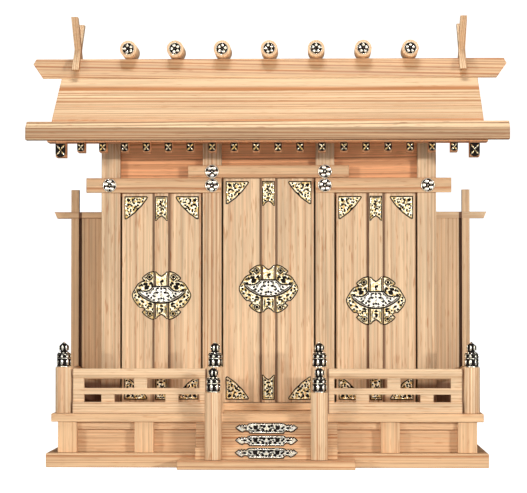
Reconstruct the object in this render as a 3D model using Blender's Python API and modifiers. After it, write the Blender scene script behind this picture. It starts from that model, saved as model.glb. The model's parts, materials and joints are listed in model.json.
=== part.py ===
"""A household shrine shelf of pale softwood: three pairs of doors under one roof, on a railed veranda.

Metres, +Z up. The front faces -Y, X = 0 is the centre line and Z = 0 is the underside.
Depths are counted from the ridge's vertical plane, which stands over the middle of the body.
"""

import math

import bmesh
import bpy

# Clearances and edges
GAP = 0.0003  # between two pieces that touch
EDGE = 0.0005  # chamfer of a planed edge
FINE_EDGE = 0.0003  # chamfer of a thin strip's edge
SIDES = 24  # faces around a turned piece

# Where the ridge's plane and the body's front stand
RIDGE_Y = 0.043
BODY_DEPTH = 0.090  # pillar face to the back wall's outer face
BODY_FRONT = RIDGE_Y - BODY_DEPTH / 2
BODY_BACK = RIDGE_Y + BODY_DEPTH / 2

# Base and veranda
FLOOR_WIDTH = 0.446
VERANDA_DEPTH = 0.062  # pillar face to the floor's front edge
FLOOR_BEHIND = 0.006  # floor behind the back wall
FLOOR_THICKNESS = 0.0085
BASE_SPREAD = 0.0047  # bottom board beyond the floor at each side
BASE_REACH = 0.006  # bottom board beyond the floor at front and back
BASE_THICKNESS = 0.0145
BASE_HEIGHT = 0.032  # bottom board to the floor
BASE_POST_INSET = 0.0068  # floor's end to the corner post's side
BASE_POST_WIDTH = 0.0195
BASE_MID_POST_X = 0.127
BASE_POST_SETBACK = 0.002  # floor's front edge to the post's face
BASE_RAIL_HEIGHT = 0.0075
BASE_RAIL_SETBACK = 0.006  # post's face to the rail's face
BASE_PANEL_SETBACK = 0.012  # post's face to the panel's face
BASE_PANEL_THICKNESS = 0.004

# Steps and the platform under them
STAIR_WIDTH = 0.145
STEPS = 3
TREAD = 0.008
PLATFORM_WIDTH = 0.1812
PLATFORM_THICKNESS = 0.0093
PLATFORM_TREAD = 0.012  # platform in front of the first step

# Round posts and their caps
POST_DIAMETER = 0.0175
POST_HEIGHT = 0.0475  # veranda floor to the post's top
NEWEL_HEIGHT = 0.0685  # platform to the newel's top
POST_INSET = 0.010  # floor's front edge to the post's axis
CORNER_POST_X = 0.211
INNER_POST_X = 0.054
NEWEL_INSET = 0.001  # platform's front edge to the newel's side
CAP_HEIGHT = 0.0262
CAP_SLEEVE_RADIUS = 0.0071
CAP_FOOT_RADIUS = 0.0075
CAP_NECK_RADIUS = 0.0036
CAP_BULB_RADIUS = 0.0052

# Balustrade
BOTTOM_RAIL_HEIGHT = 0.0113
BOTTOM_RAIL_THICKNESS = 0.012
MIDDLE_RAIL_HEIGHT = 0.0063
MIDDLE_RAIL_THICKNESS = 0.0075
MIDDLE_RAIL_LIFT = 0.0197  # floor to the middle rail's underside
TOP_RAIL_DIAMETER = 0.0108
TOP_RAIL_LIFT = 0.0408  # floor to the top rail's axis
BLOCK_WIDTH = 0.0135
BLOCK_THICKNESS = 0.0065
END_BLOCK = 0.0122  # from the corner post's side
INNER_END_BLOCK = 0.0065  # from the inner post's side
UPPER_BLOCK_X = 0.131
LOWER_BLOCKS_X = (0.0985, 0.165)

# Body
SILL_HEIGHT = 0.008
SILL_PROUD = 0.003  # sill in front of the pillars
PILLAR_WIDTH = 0.020
INNER_PILLAR_X = 0.060
OUTER_PILLAR_X = 0.168
BODY_HEIGHT = 0.293  # floor to the tops of the pillars and walls
WALL_THICKNESS = 0.006
WALL_INSET = 0.003  # pillar's outer face to the side wall's
PARTITION_THICKNESS = 0.005
BACK_WALL_THICKNESS = 0.006
FRIEZE_THICKNESS = 0.0035

# Beams across the pillars
NAGESHI_THICKNESS = 0.0027
LOWER_NAGESHI_LIFT = 0.2315  # floor to its underside
LOWER_NAGESHI_HEIGHT = 0.0157
LOWER_NAGESHI_HALF = 0.194
UPPER_NAGESHI_HEIGHT = 0.0131
UPPER_NAGESHI_HALF = 0.0856

# Doors
LEAF_THICKNESS = 0.006
LEAF_SETBACK = 0.003  # pillar's face to the leaf's face
LEAF_SIDE_GAP = 0.0018  # pillar to the leaf
LEAF_MEETING_GAP = 0.0004
LEAF_END_GAP = 0.0005  # above and below the leaf
PIVOT_INSET = 0.003  # leaf's outer edge to its pivot
STOP_GAP = 0.0015  # leaf's back to the frieze panel
STOP_LAP = 0.003  # frieze panel below the leaf's top
STRIP_WIDTH = 0.0144
STRIP_THICKNESS = 0.003

# Wings at the back of the veranda
WING_SETBACK = 0.065  # pillar face to the wing's middle
WING_POST_X = 0.2135
WING_POST_WIDTH = 0.0084
WING_POST_HEIGHT = 0.238
WING_RAIL_LIFT = 0.207
WING_RAIL_HEIGHT = 0.007
WING_RAIL_PROUD = 0.0008  # rail beyond the post at front and back
WING_RAIL_TOP_HALF = 0.236
WING_RAIL_BOTTOM_HALF = 0.233
WING_PANEL_THICKNESS = 0.006
WING_GROOVE = 0.0033  # groove between panel and post
WING_WEB_THICKNESS = 0.0018  # what closes the groove at the back
WING_WEB_LAP = 0.002  # web beside the groove, sunk in panel and post

# Roof
EAVE_REACH = 0.109  # ridge's plane to the eave board's face
EAVE_WIDTH = 0.5014
EAVE_LIFT = 0.2831  # floor to the eave board's underside
EAVE_FACE_HEIGHT = 0.0132
EAVE_BOARD_DEPTH = 0.0108
ROOF_PITCH = math.radians(32.9)
ROOF_WIDTH = 0.449
ROOF_THICKNESS = 0.005
ROOF_STEP = 0.0016  # roof board above the eave board's top
ROOF_BEHIND = 0.008  # back slope behind the body
CEILING_THICKNESS = 0.003
GABLE_THICKNESS = 0.005
ATTIC_BOARD_THICKNESS = 0.004
BARGE_THICKNESS = 0.004
BARGE_HEIGHT = 0.009
BARGE_INSET = 0.0015  # roof's end to the bargeboard
RAFTERS = 18
RAFTER_SPACING = 0.0228
RAFTER_WIDTH = 0.0072
RAFTER_HEIGHT = 0.0101
RAFTER_SETBACK = 0.009  # eave board's face to the rafter's end
END_RAFTER_X = 0.215
END_RAFTER_WIDTH = 0.010
END_RAFTER_HEIGHT = 0.0153
BATTEN_WIDTH = 0.457
BATTEN_THICKNESS = 0.0015
BATTEN_DEPTH = 0.023
BATTEN_SETBACK = 0.006  # eave board's face to the batten's edge

# Ridge
RIDGE_FOOT = 0.019  # ridge's plane to the cap's lower edge
RIDGE_LIP = 0.0018  # height of that edge
RIDGE_TOP = 0.007  # ridge's plane to the front of the flat top
RIDGE_BACK = 0.007  # ridge's plane to the upright back
RIDGE_RISE = 0.0228  # lower edge's foot to the top
RIDGE_HALF_TOP = 0.2534
RIDGE_HALF_TIP = 0.2562
RIDGE_HALF_FOOT = 0.2443
RIDGE_TIP_DROP = 0.006  # top to the pointed tip
LOGS = 7
LOG_SPACING = 0.0507
LOG_DIAMETER = 0.0182
LOG_LENGTH = 0.042
CHIGI_INSET = 0.0477  # ridge's tip to the crossed bars
CHIGI_THICKNESS = 0.007
CHIGI_WIDTH = 0.008
CHIGI_ANGLE = math.radians(45.0)
CHIGI_CROSSING = 0.0105  # ridge's top to the crossing
CHIGI_RISE = 0.0315  # crossing to the upper ends
CHIGI_DROP = 0.0245  # crossing to the feet

# Colours: linear red, green, blue
PALE_WOOD = (0.66, 0.44, 0.25)
WARM_WOOD = (0.56, 0.34, 0.18)
SHADED_WOOD = (0.40, 0.19, 0.09)
GILT = (0.80, 0.55, 0.20)

# Levels that follow from the sizes above
BASE_TOP = BASE_THICKNESS
FLOOR_BOTTOM = BASE_TOP + BASE_HEIGHT
FLOOR_TOP = FLOOR_BOTTOM + FLOOR_THICKNESS
SILL_TOP = FLOOR_TOP + GAP + SILL_HEIGHT
BODY_TOP = FLOOR_TOP + BODY_HEIGHT
LOWER_NAGESHI_Z = FLOOR_TOP + LOWER_NAGESHI_LIFT
UPPER_NAGESHI_Z = LOWER_NAGESHI_Z + LOWER_NAGESHI_HEIGHT + GAP
EAVE_BOTTOM = FLOOR_TOP + EAVE_LIFT
EAVE_TOP = EAVE_BOTTOM + EAVE_FACE_HEIGHT
SLOPE = math.tan(ROOF_PITCH)
ROOF_DROP = ROOF_THICKNESS / math.cos(ROOF_PITCH)

# Depths that follow
FLOOR_FRONT = BODY_FRONT - VERANDA_DEPTH
FLOOR_BACK = BODY_BACK + FLOOR_BEHIND
BASE_FRONT = FLOOR_FRONT - BASE_REACH
BASE_BACK = FLOOR_BACK + BASE_REACH
STAIR_FRONT = FLOOR_FRONT - STEPS * TREAD
PLATFORM_FRONT = STAIR_FRONT - PLATFORM_TREAD
PILLAR_BACK = BODY_FRONT + PILLAR_WIDTH
LEAF_FRONT = BODY_FRONT + LEAF_SETBACK
LEAF_BACK = LEAF_FRONT + LEAF_THICKNESS
FRIEZE_FRONT = LEAF_BACK + STOP_GAP
POST_ROW_Y = FLOOR_FRONT + POST_INSET
WING_Y = BODY_FRONT + WING_SETBACK
POST_RADIUS = POST_DIAMETER / 2
CHIGI_X = RIDGE_HALF_TIP - CHIGI_INSET

LEFT, RIGHT = -1, 1


def clear_scene():
    """Remove what a new file holds."""
    for obj in list(bpy.data.objects):
        bpy.data.objects.remove(obj, do_unlink=True)


def collection(name):
    made = bpy.data.collections.new(name)
    bpy.context.scene.collection.children.link(made)
    return made


def move_to(obj, target):
    for holder in list(obj.users_collection):
        holder.objects.unlink(obj)
    target.objects.link(obj)


def finish_material(obj, colour, roughness, metallic=0.0):
    """Give an object its own Principled material."""
    material = bpy.data.materials.new(obj.name)
    material.use_nodes = True
    shader = material.node_tree.nodes["Principled BSDF"]
    shader.inputs["Base Color"].default_value = (*colour, 1.0)
    shader.inputs["Roughness"].default_value = roughness
    shader.inputs["Metallic"].default_value = metallic
    obj.data.materials.clear()
    obj.data.materials.append(material)


def chamfer(obj, width):
    bevel = obj.modifiers.new("planed edges", "BEVEL")
    bevel.width = width
    bevel.segments = 1
    bevel.limit_method = "ANGLE"
    bevel.angle_limit = math.radians(35.0)
    bevel.use_clamp_overlap = True


def box(name, x_range, y_range, z_range):
    """A box between three pairs of limits, with its origin at its centre."""
    size = [high - low for low, high in (x_range, y_range, z_range)]
    middle = [(high + low) / 2 for low, high in (x_range, y_range, z_range)]
    bpy.ops.mesh.primitive_cube_add(size=1.0, location=middle)
    made = bpy.context.object
    made.name = name
    made.scale = size
    bpy.ops.object.transform_apply(location=False, rotation=False, scale=True)
    move_to(made, PARTS)
    return made


def rod(name, radius, length, middle, axis="Z"):
    """A cylinder along one axis."""
    turn = {"X": (0.0, math.pi / 2, 0.0), "Y": (math.pi / 2, 0.0, 0.0), "Z": (0.0, 0.0, 0.0)}[axis]
    bpy.ops.mesh.primitive_cylinder_add(
        vertices=SIDES, radius=radius, depth=length, end_fill_type="NGON", location=middle, rotation=turn
    )
    made = bpy.context.object
    made.name = name
    made.data.shade_smooth()
    made.data.set_sharp_from_angle(angle=math.radians(40.0))
    move_to(made, PARTS)
    return made


def outline(name, points, thickness, middle, facing):
    """A flat outline given a thickness. facing is the axis that it is extruded along.

    The outline's own plane is Y, Z for facing X; X, Z for facing Y; and X, Y for facing Z.
    """
    curve = bpy.data.curves.new(name, "CURVE")
    curve.dimensions = "2D"
    curve.fill_mode = "BOTH"
    curve.extrude = thickness / 2
    spline = curve.splines.new("POLY")
    spline.points.add(len(points) - 1)
    for place, (across, up) in zip(spline.points, points):
        place.co = (across, up, 0.0, 1.0)
    spline.use_cyclic_u = True
    drawn = bpy.data.objects.new(name, curve)
    turn = {"X": (math.pi / 2, 0.0, math.pi / 2), "Y": (math.pi / 2, 0.0, 0.0), "Z": (0.0, 0.0, 0.0)}[facing]
    drawn.rotation_euler = turn
    drawn.location = middle
    PARTS.objects.link(drawn)
    return as_mesh(drawn)


def as_mesh(drawn):
    """Replace a curve object by its welded mesh."""
    bpy.context.view_layer.update()
    evaluated = drawn.evaluated_get(bpy.context.evaluated_depsgraph_get())
    mesh = bpy.data.meshes.new_from_object(evaluated)
    work = bmesh.new()
    work.from_mesh(mesh)
    bmesh.ops.remove_doubles(work, verts=work.verts, dist=0.00001)
    work.to_mesh(mesh)
    work.free()
    name, place = drawn.name, drawn.matrix_world.copy()
    bpy.data.objects.remove(drawn, do_unlink=True)
    made = bpy.data.objects.new(name, mesh)
    made.matrix_world = place
    PARTS.objects.link(made)
    return made


def combine(obj, others, operation):
    """Join other shapes to an object, or cut them out of it or keep what they share."""
    for other in others:
        step = obj.modifiers.new(operation.lower(), "BOOLEAN")
        step.operation = operation
        step.solver = "EXACT"
        step.object = other
        other.hide_render = True
        other.display_type = "WIRE"
        move_to(other, CUTTERS)
    return obj


def join(obj, *others):
    return combine(obj, others, "UNION")


def cut(obj, *others):
    return combine(obj, others, "DIFFERENCE")


def wood(obj, colour=PALE_WOOD, edge=EDGE):
    finish_material(obj, colour, 0.55)
    if edge:
        chamfer(obj, edge)
    return obj


def side_name(name, side):
    return name + ("_left" if side == LEFT else "_right")


def x_range(side, inner, outer):
    """The range between two distances from the centre line, at one side."""
    return tuple(sorted((side * inner, side * outer)))


def make_base():
    """Bottom board, platform, framed base, steps and floor."""
    half_base = FLOOR_WIDTH / 2 + BASE_SPREAD
    board = box("base_board", (-half_base, half_base), (BASE_FRONT, BASE_BACK), (0.0, BASE_THICKNESS))
    wood(board)
    half = PLATFORM_WIDTH / 2
    platform_depths = (PLATFORM_FRONT, BASE_FRONT - GAP)
    wood(box("step_platform", (-half, half), platform_depths, (0.0, PLATFORM_THICKNESS)))
    floor_half = FLOOR_WIDTH / 2
    floor_depths = (FLOOR_FRONT, FLOOR_BACK)
    wood(box("floor", (-floor_half, floor_half), floor_depths, (FLOOR_BOTTOM, FLOOR_TOP)))
    make_base_frame()
    make_stair()


def make_base_frame():
    """Posts, rails and recessed panels in a ring between the bottom board and the floor."""
    low, high = BASE_TOP + GAP, FLOOR_BOTTOM - GAP
    outer = FLOOR_WIDTH / 2 - BASE_POST_INSET
    front, back = FLOOR_FRONT + BASE_POST_SETBACK, FLOOR_BACK - BASE_POST_SETBACK
    corner_x = outer - BASE_POST_WIDTH / 2
    blocks = []
    for near, far in ((front, front + BASE_POST_WIDTH), (back - BASE_POST_WIDTH, back)):
        for x in (-corner_x, -BASE_MID_POST_X, BASE_MID_POST_X, corner_x):
            across = (x - BASE_POST_WIDTH / 2, x + BASE_POST_WIDTH / 2)
            blocks.append(box("base post", across, (near, far), (low, high)))
    for setback, thickness, lift in (
        (BASE_RAIL_SETBACK, BASE_PANEL_SETBACK - BASE_RAIL_SETBACK + BASE_PANEL_THICKNESS, BASE_RAIL_HEIGHT),
        (BASE_PANEL_SETBACK, BASE_PANEL_THICKNESS, high - low),
    ):
        levels = (high - lift, high)
        x_inside = corner_x
        for near in (front + setback, back - setback - thickness):
            across = (-x_inside, x_inside)
            blocks.append(box("base rail", across, (near, near + thickness), levels))
        middle_depths = (front + BASE_POST_WIDTH / 2, back - BASE_POST_WIDTH / 2)
        for side in (LEFT, RIGHT):
            across = x_range(side, outer - setback - thickness, outer - setback)
            blocks.append(box("base rail", across, middle_depths, levels))
    frame = blocks[0]
    frame.name = "base_frame"
    join(frame, *blocks[1:])
    wood(frame, edge=None)


def make_stair():
    """The steps as one stepped block, notched around the two newels."""
    rise = (FLOOR_BOTTOM - PLATFORM_THICKNESS) / STEPS
    back = FLOOR_FRONT + BASE_POST_SETBACK + BASE_RAIL_SETBACK - GAP
    points = []
    for step in range(STEPS):
        front = STAIR_FRONT + step * TREAD
        foot = PLATFORM_THICKNESS + GAP if step == 0 else PLATFORM_THICKNESS + step * rise - GAP
        points.append((front, foot))
        points.append((front, PLATFORM_THICKNESS + (step + 1) * rise - GAP))
    top = points[-1][1]
    seat = BASE_TOP + GAP
    points += [(back, top), (back, seat), (BASE_FRONT - GAP, seat), (BASE_FRONT - GAP, points[0][1])]
    stair = outline("stair", points, STAIR_WIDTH, (0.0, 0.0, 0.0), "X")
    notches = []
    for side in (LEFT, RIGHT):
        middle = (side * INNER_POST_X, newel_y(), FLOOR_BOTTOM / 2)
        notches.append(rod("newel notch", POST_RADIUS + GAP, 2 * FLOOR_BOTTOM, middle))
    cut(stair, *notches)
    wood(stair, WARM_WOOD, FINE_EDGE)


def newel_y():
    return PLATFORM_FRONT + NEWEL_INSET + POST_RADIUS


def post_places():
    """Each round post: name, x, y, foot and height."""
    places = []
    for side in (LEFT, RIGHT):
        foot = FLOOR_TOP + GAP
        places.append((side_name("corner_post", side), side * CORNER_POST_X, POST_ROW_Y, foot, POST_HEIGHT))
        places.append((side_name("inner_post", side), side * INNER_POST_X, POST_ROW_Y, foot, POST_HEIGHT))
        newel_foot = PLATFORM_THICKNESS + GAP
        places.append((side_name("newel", side), side * INNER_POST_X, newel_y(), newel_foot, NEWEL_HEIGHT))
    return places


def make_posts():
    for name, x, y, foot, height in post_places():
        post = rod(name, POST_RADIUS, height, (x, y, foot + height / 2))
        wood(post, PALE_WOOD, EDGE)
        cap = make_cap(name + "_finial")
        cap.location = (x, y, foot + height + GAP)


def make_cap(name):
    """A turned giboshi: a sleeve with a bead, a shoulder, a narrow neck and a pointed bulb."""
    sleeve_top = 0.50 * CAP_HEIGHT
    bead = 0.33 * CAP_HEIGHT
    bead_half = 0.030 * CAP_HEIGHT
    bead_proud = 0.0004
    profile = [(0.0, CAP_HEIGHT)]
    bulb_z, bulb_base = 0.77 * CAP_HEIGHT, 0.64 * CAP_HEIGHT
    for share in (0.12, 0.3, 0.5, 0.7, 0.88, 1.0):
        radius = CAP_BULB_RADIUS * math.sin(share * math.pi / 2) ** 1.35
        profile.append((radius, CAP_HEIGHT - (CAP_HEIGHT - bulb_z) * share))
    for turn in (35.0, 70.0):
        angle = math.radians(turn)
        drop = (bulb_z - bulb_base) * math.sin(angle)
        radius = CAP_NECK_RADIUS + (CAP_BULB_RADIUS - CAP_NECK_RADIUS) * math.cos(angle)
        profile.append((radius, bulb_z - drop))
    profile.append((CAP_NECK_RADIUS, bulb_base - 0.02 * CAP_HEIGHT))
    for turn in (30.0, 60.0, 90.0):
        angle = math.radians(turn)
        radius = CAP_NECK_RADIUS + (CAP_SLEEVE_RADIUS - CAP_NECK_RADIUS) * (1 - math.cos(angle))
        fall = (bulb_base - 0.02 * CAP_HEIGHT - sleeve_top) * math.sin(angle)
        profile.append((radius, bulb_base - 0.02 * CAP_HEIGHT - fall))
    profile += [
        (CAP_SLEEVE_RADIUS, bead + bead_half),
        (CAP_SLEEVE_RADIUS + bead_proud, bead),
        (CAP_SLEEVE_RADIUS, bead - bead_half),
        (CAP_SLEEVE_RADIUS, 0.08 * CAP_HEIGHT),
        (CAP_FOOT_RADIUS, 0.03 * CAP_HEIGHT),
        (CAP_FOOT_RADIUS, 0.0),
        (0.0, 0.0),
    ]
    mesh = bpy.data.meshes.new(name)
    work = bmesh.new()
    corners = [work.verts.new((radius, 0.0, z)) for radius, z in profile]
    for upper, lower in zip(corners, corners[1:]):
        work.edges.new((upper, lower))
    work.to_mesh(mesh)
    work.free()
    cap = bpy.data.objects.new(name, mesh)
    PARTS.objects.link(cap)
    turned = cap.modifiers.new("turned", "SCREW")
    turned.steps = 12
    turned.render_steps = 12
    turned.use_merge_vertices = True
    turned.merge_threshold = 0.00001
    turned.use_smooth_shade = True
    finish_material(cap, GILT, 0.3, 1.0)
    return cap


def rail_run(name, along, start, end, place, blocks):
    """One stretch of balustrade: three rails with blocks between them.

    along is the axis that it runs on, place its other coordinate, and blocks a list of
    (middle, width, tier) with tier 0 below the middle rail and 1 above it.
    """
    def stretch(low, high, thickness, levels):
        across = (place - thickness / 2, place + thickness / 2)
        if along == "X":
            return box(name, (low, high), across, levels)
        return box(name, across, (low, high), levels)

    floor = FLOOR_TOP + GAP
    middle_low = FLOOR_TOP + MIDDLE_RAIL_LIFT
    middle_high = middle_low + MIDDLE_RAIL_HEIGHT
    top_axis = FLOOR_TOP + TOP_RAIL_LIFT
    bottom = stretch(start, end, BOTTOM_RAIL_THICKNESS, (floor, floor + BOTTOM_RAIL_HEIGHT))
    others = [stretch(start, end, MIDDLE_RAIL_THICKNESS, (middle_low, middle_high))]
    centre = ((start + end) / 2, place) if along == "X" else (place, (start + end) / 2)
    others.append(rod("top rail", TOP_RAIL_DIAMETER / 2, end - start, (*centre, top_axis), along))
    lap = MIDDLE_RAIL_HEIGHT / 4
    tiers = ((floor + BOTTOM_RAIL_HEIGHT - lap, middle_low + lap), (middle_high - lap, top_axis))
    for middle, width, tier in blocks:
        low, high = max(start, middle - width / 2), min(end, middle + width / 2)
        others.append(stretch(low, high, BLOCK_THICKNESS, tiers[tier]))
    join(bottom, *others)
    bottom.name = name
    wood(bottom, edge=None)


def make_balustrade():
    clear = POST_RADIUS + GAP
    back = WING_Y - WING_POST_WIDTH / 2 - GAP
    for side in (LEFT, RIGHT):
        inner, outer = INNER_POST_X + clear, CORNER_POST_X - clear
        blocks = [(side * UPPER_BLOCK_X, BLOCK_WIDTH, 1)]
        blocks += [(side * x, BLOCK_WIDTH, 0) for x in LOWER_BLOCKS_X]
        for tier in (0, 1):
            blocks.append((side * outer, 2 * END_BLOCK, tier))
            blocks.append((side * inner, 2 * INNER_END_BLOCK, tier))
        start, end = x_range(side, inner, outer)
        rail_run(side_name("balustrade_front", side), "X", start, end, POST_ROW_Y, blocks)
        start, end = POST_ROW_Y + clear, back
        length = end - start
        blocks = [(start + length / 2, BLOCK_WIDTH, 1)]
        blocks += [(start + share * length, BLOCK_WIDTH, 0) for share in (0.36, 0.68)]
        for tier in (0, 1):
            blocks.append((start, 2 * END_BLOCK, tier))
            blocks.append((end, 2 * INNER_END_BLOCK, tier))
        rail_run(side_name("balustrade_side", side), "Y", start, end, side * CORNER_POST_X, blocks)


def make_body():
    """Sill, pillars, walls and the frieze panel that stops the doors."""
    outer_half = OUTER_PILLAR_X + PILLAR_WIDTH / 2
    floor = FLOOR_TOP + GAP
    head = BODY_TOP
    sill_half = outer_half + SILL_PROUD
    sill_depths = (BODY_FRONT - SILL_PROUD, PILLAR_BACK)
    wood(box("sill", (-sill_half, sill_half), sill_depths, (floor, SILL_TOP)))
    make_frieze(head)
    for side in (LEFT, RIGHT):
        for name, x in (("inner_pillar", INNER_PILLAR_X), ("outer_pillar", OUTER_PILLAR_X)):
            across = x_range(side, x - PILLAR_WIDTH / 2, x + PILLAR_WIDTH / 2)
            depths = (BODY_FRONT, PILLAR_BACK)
            pillar = box(side_name(name, side), across, depths, (SILL_TOP + GAP, head))
            slot_foot = frieze_foot(side_door_top()) - GAP
            slot_depths = (FRIEZE_FRONT - GAP, FRIEZE_FRONT + FRIEZE_THICKNESS + GAP)
            slot_across = (min(across) - PILLAR_WIDTH, max(across) + PILLAR_WIDTH)
            slot = box("frieze slot", slot_across, slot_depths, (slot_foot, head + PILLAR_WIDTH))
            wood(cut(pillar, slot))
        wall_outer = outer_half - WALL_INSET
        across = x_range(side, wall_outer - WALL_THICKNESS, wall_outer)
        wood(box(side_name("side_wall", side), across, (PILLAR_BACK + GAP, BODY_BACK), (floor, head)))
        half = PARTITION_THICKNESS / 2
        across = x_range(side, INNER_PILLAR_X - half, INNER_PILLAR_X + half)
        depths = (PILLAR_BACK + GAP, BODY_BACK - BACK_WALL_THICKNESS - GAP)
        wood(box(side_name("partition", side), across, depths, (floor, head)), WARM_WOOD)
    inside = outer_half - WALL_INSET - WALL_THICKNESS - GAP
    depths = (BODY_BACK - BACK_WALL_THICKNESS, BODY_BACK)
    wood(box("back_wall", (-inside, inside), depths, (floor, head)))


def side_door_top():
    return LOWER_NAGESHI_Z - LEAF_END_GAP


def centre_door_top():
    return UPPER_NAGESHI_Z - LEAF_END_GAP


def frieze_foot(door_top):
    return door_top - STOP_LAP


def make_frieze(head):
    """One board behind all pillars, its lower edge stepped up over the middle doors."""
    low, high = frieze_foot(side_door_top()), frieze_foot(centre_door_top())
    half = OUTER_PILLAR_X + PILLAR_WIDTH / 2 - WALL_INSET
    points = [(-half, low), (-INNER_PILLAR_X, low), (-INNER_PILLAR_X, high), (INNER_PILLAR_X, high)]
    points += [(INNER_PILLAR_X, low), (half, low), (half, head), (-half, head)]
    middle = (0.0, FRIEZE_FRONT + FRIEZE_THICKNESS / 2, 0.0)
    wood(outline("frieze_panel", points, FRIEZE_THICKNESS, middle, "Y"), SHADED_WOOD, None)


def make_nageshi():
    """Beams on the pillars' faces: two lower ones, and one across the middle above their inner ends."""
    depths = (BODY_FRONT - GAP - NAGESHI_THICKNESS, BODY_FRONT - GAP)
    low = LOWER_NAGESHI_Z
    inner_end = INNER_PILLAR_X - PILLAR_WIDTH / 2
    for side in (LEFT, RIGHT):
        across = x_range(side, inner_end, LOWER_NAGESHI_HALF)
        beam = box(side_name("lower_nageshi", side), across, depths, (low, low + LOWER_NAGESHI_HEIGHT))
        wood(beam, WARM_WOOD, EDGE)
    levels = (UPPER_NAGESHI_Z, UPPER_NAGESHI_Z + UPPER_NAGESHI_HEIGHT)
    wood(box("upper_nageshi", (-UPPER_NAGESHI_HALF, UPPER_NAGESHI_HALF), depths, levels), WARM_WOOD, EDGE)


def make_doors():
    """Three pairs of leaves. The raised strip is fixed to each right leaf and laps the left one."""
    inner_side = INNER_PILLAR_X + PILLAR_WIDTH / 2
    outer_side = OUTER_PILLAR_X - PILLAR_WIDTH / 2
    side_half = (outer_side - inner_side) / 2
    side_middle = (outer_side + inner_side) / 2
    centre_half = INNER_PILLAR_X - PILLAR_WIDTH / 2
    bays = (
        ("left", -side_middle, side_half, side_door_top()),
        ("middle", 0.0, centre_half, centre_door_top()),
        ("right", side_middle, side_half, side_door_top()),
    )
    bottom = SILL_TOP + LEAF_END_GAP
    for bay, middle, half, top in bays:
        for side in (LEFT, RIGHT):
            make_leaf(side_name(bay + "_door", side), side, middle, half, bottom, top)


def make_leaf(name, side, middle, half, bottom, top):
    """One leaf, its origin on its pivot, hung from an empty that stands on the same axis."""
    pivot = half - LEAF_SIDE_GAP - PIVOT_INSET
    near, far = LEAF_MEETING_GAP / 2 - pivot, PIVOT_INSET
    front, back = -LEAF_THICKNESS / 2, LEAF_THICKNESS / 2
    if side == LEFT:
        points = [(near, front), (far, front), (far, back), (near, back)]
        points = [(-x, y) for x, y in points]
    else:
        strip_front = front - STRIP_THICKNESS
        strip_edge = STRIP_WIDTH / 2
        points = [
            (near, back),
            (near, front - GAP),
            (-pivot - strip_edge, front - GAP),
            (-pivot - strip_edge, strip_front),
            (-pivot + strip_edge, strip_front),
            (-pivot + strip_edge, front),
            (far, front),
            (far, back),
        ]
    axis = bpy.data.objects.new(name + "_pivot", None)
    axis.empty_display_size = LEAF_THICKNESS
    axis.location = (middle + side * pivot, LEAF_FRONT + LEAF_THICKNESS / 2, 0.0)
    PARTS.objects.link(axis)
    leaf = outline(name, points, top - bottom, (0.0, 0.0, (top + bottom) / 2), "Z")
    leaf.parent = axis
    wood(leaf, PALE_WOOD, FINE_EDGE)


def make_wings():
    """Side screens: a post at the veranda's edge, a rail across it and a panel by the wall.

    The groove between post and panel is closed at the back.
    """
    wall = OUTER_PILLAR_X + PILLAR_WIDTH / 2 - WALL_INSET + GAP
    floor = FLOOR_TOP + GAP
    rail_low = FLOOR_TOP + WING_RAIL_LIFT
    rail_high = rail_low + WING_RAIL_HEIGHT
    for side in (LEFT, RIGHT):
        half = WING_POST_WIDTH / 2
        across = x_range(side, WING_POST_X - half, WING_POST_X + half)
        depths = (WING_Y - half, WING_Y + half)
        post = box(side_name("wing", side), across, depths, (floor, floor + WING_POST_HEIGHT))
        points = [(wall, rail_low), (WING_RAIL_BOTTOM_HALF, rail_low), (WING_RAIL_TOP_HALF, rail_high)]
        points += [(wall, rail_high)]
        points = [(side * x, z) for x, z in points]
        thickness = WING_POST_WIDTH + 2 * WING_RAIL_PROUD
        rail = outline("wing rail", points, thickness, (0.0, WING_Y, 0.0), "Y")
        panel_end = WING_POST_X - half - WING_GROOVE
        half_panel = WING_PANEL_THICKNESS / 2
        levels = (floor, rail_low + WING_RAIL_HEIGHT / 2)
        depths = (WING_Y - half_panel, WING_Y + half_panel)
        panel = box("wing panel", x_range(side, wall, panel_end), depths, levels)
        across = x_range(side, panel_end - WING_WEB_LAP, panel_end + WING_GROOVE + WING_WEB_LAP)
        back = WING_Y + half_panel
        web = box("wing web", across, (back - WING_WEB_THICKNESS, back), levels)
        join(post, rail, panel, web)
        wood(post, WARM_WOOD, None)


def roof_top(distance):
    """Height of the roof boards' upper face at a distance from the ridge's plane."""
    eave = EAVE_TOP + ROOF_STEP + (EAVE_REACH - distance) * SLOPE
    return eave


def roof_underside(distance):
    """Height just below the roof boards at a distance from the ridge's plane."""
    return roof_top(distance) - ROOF_DROP - GAP / math.cos(ROOF_PITCH)


def make_attic():
    """A ceiling with a board on each side of it, up to the roof: one frame, open at the top."""
    half = OUTER_PILLAR_X + PILLAR_WIDTH / 2
    ceiling = (BODY_TOP + GAP, BODY_TOP + GAP + CEILING_THICKNESS)
    frame = box("attic_frame", (-half, half), (BODY_FRONT, BODY_BACK), ceiling)
    foot = sum(ceiling) / 2
    reach = BODY_DEPTH / 2
    eave = roof_underside(reach)
    points = [(-reach, foot), (reach, foot), (reach, eave), (0.0, roof_underside(0.0)), (-reach, eave)]
    outer = half - WALL_INSET
    boards = []
    for side in (LEFT, RIGHT):
        middle = (side * (outer - GABLE_THICKNESS / 2), RIDGE_Y, 0.0)
        boards.append(outline("gable", points, GABLE_THICKNESS, middle, "X"))
    inside = outer - GABLE_THICKNESS / 2
    for near in (BODY_FRONT, BODY_BACK - ATTIC_BOARD_THICKNESS):
        depths = (near, near + ATTIC_BOARD_THICKNESS)
        boards.append(box("attic board", (-inside, inside), depths, (foot, eave)))
    wood(join(frame, *boards), WARM_WOOD, None)


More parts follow.
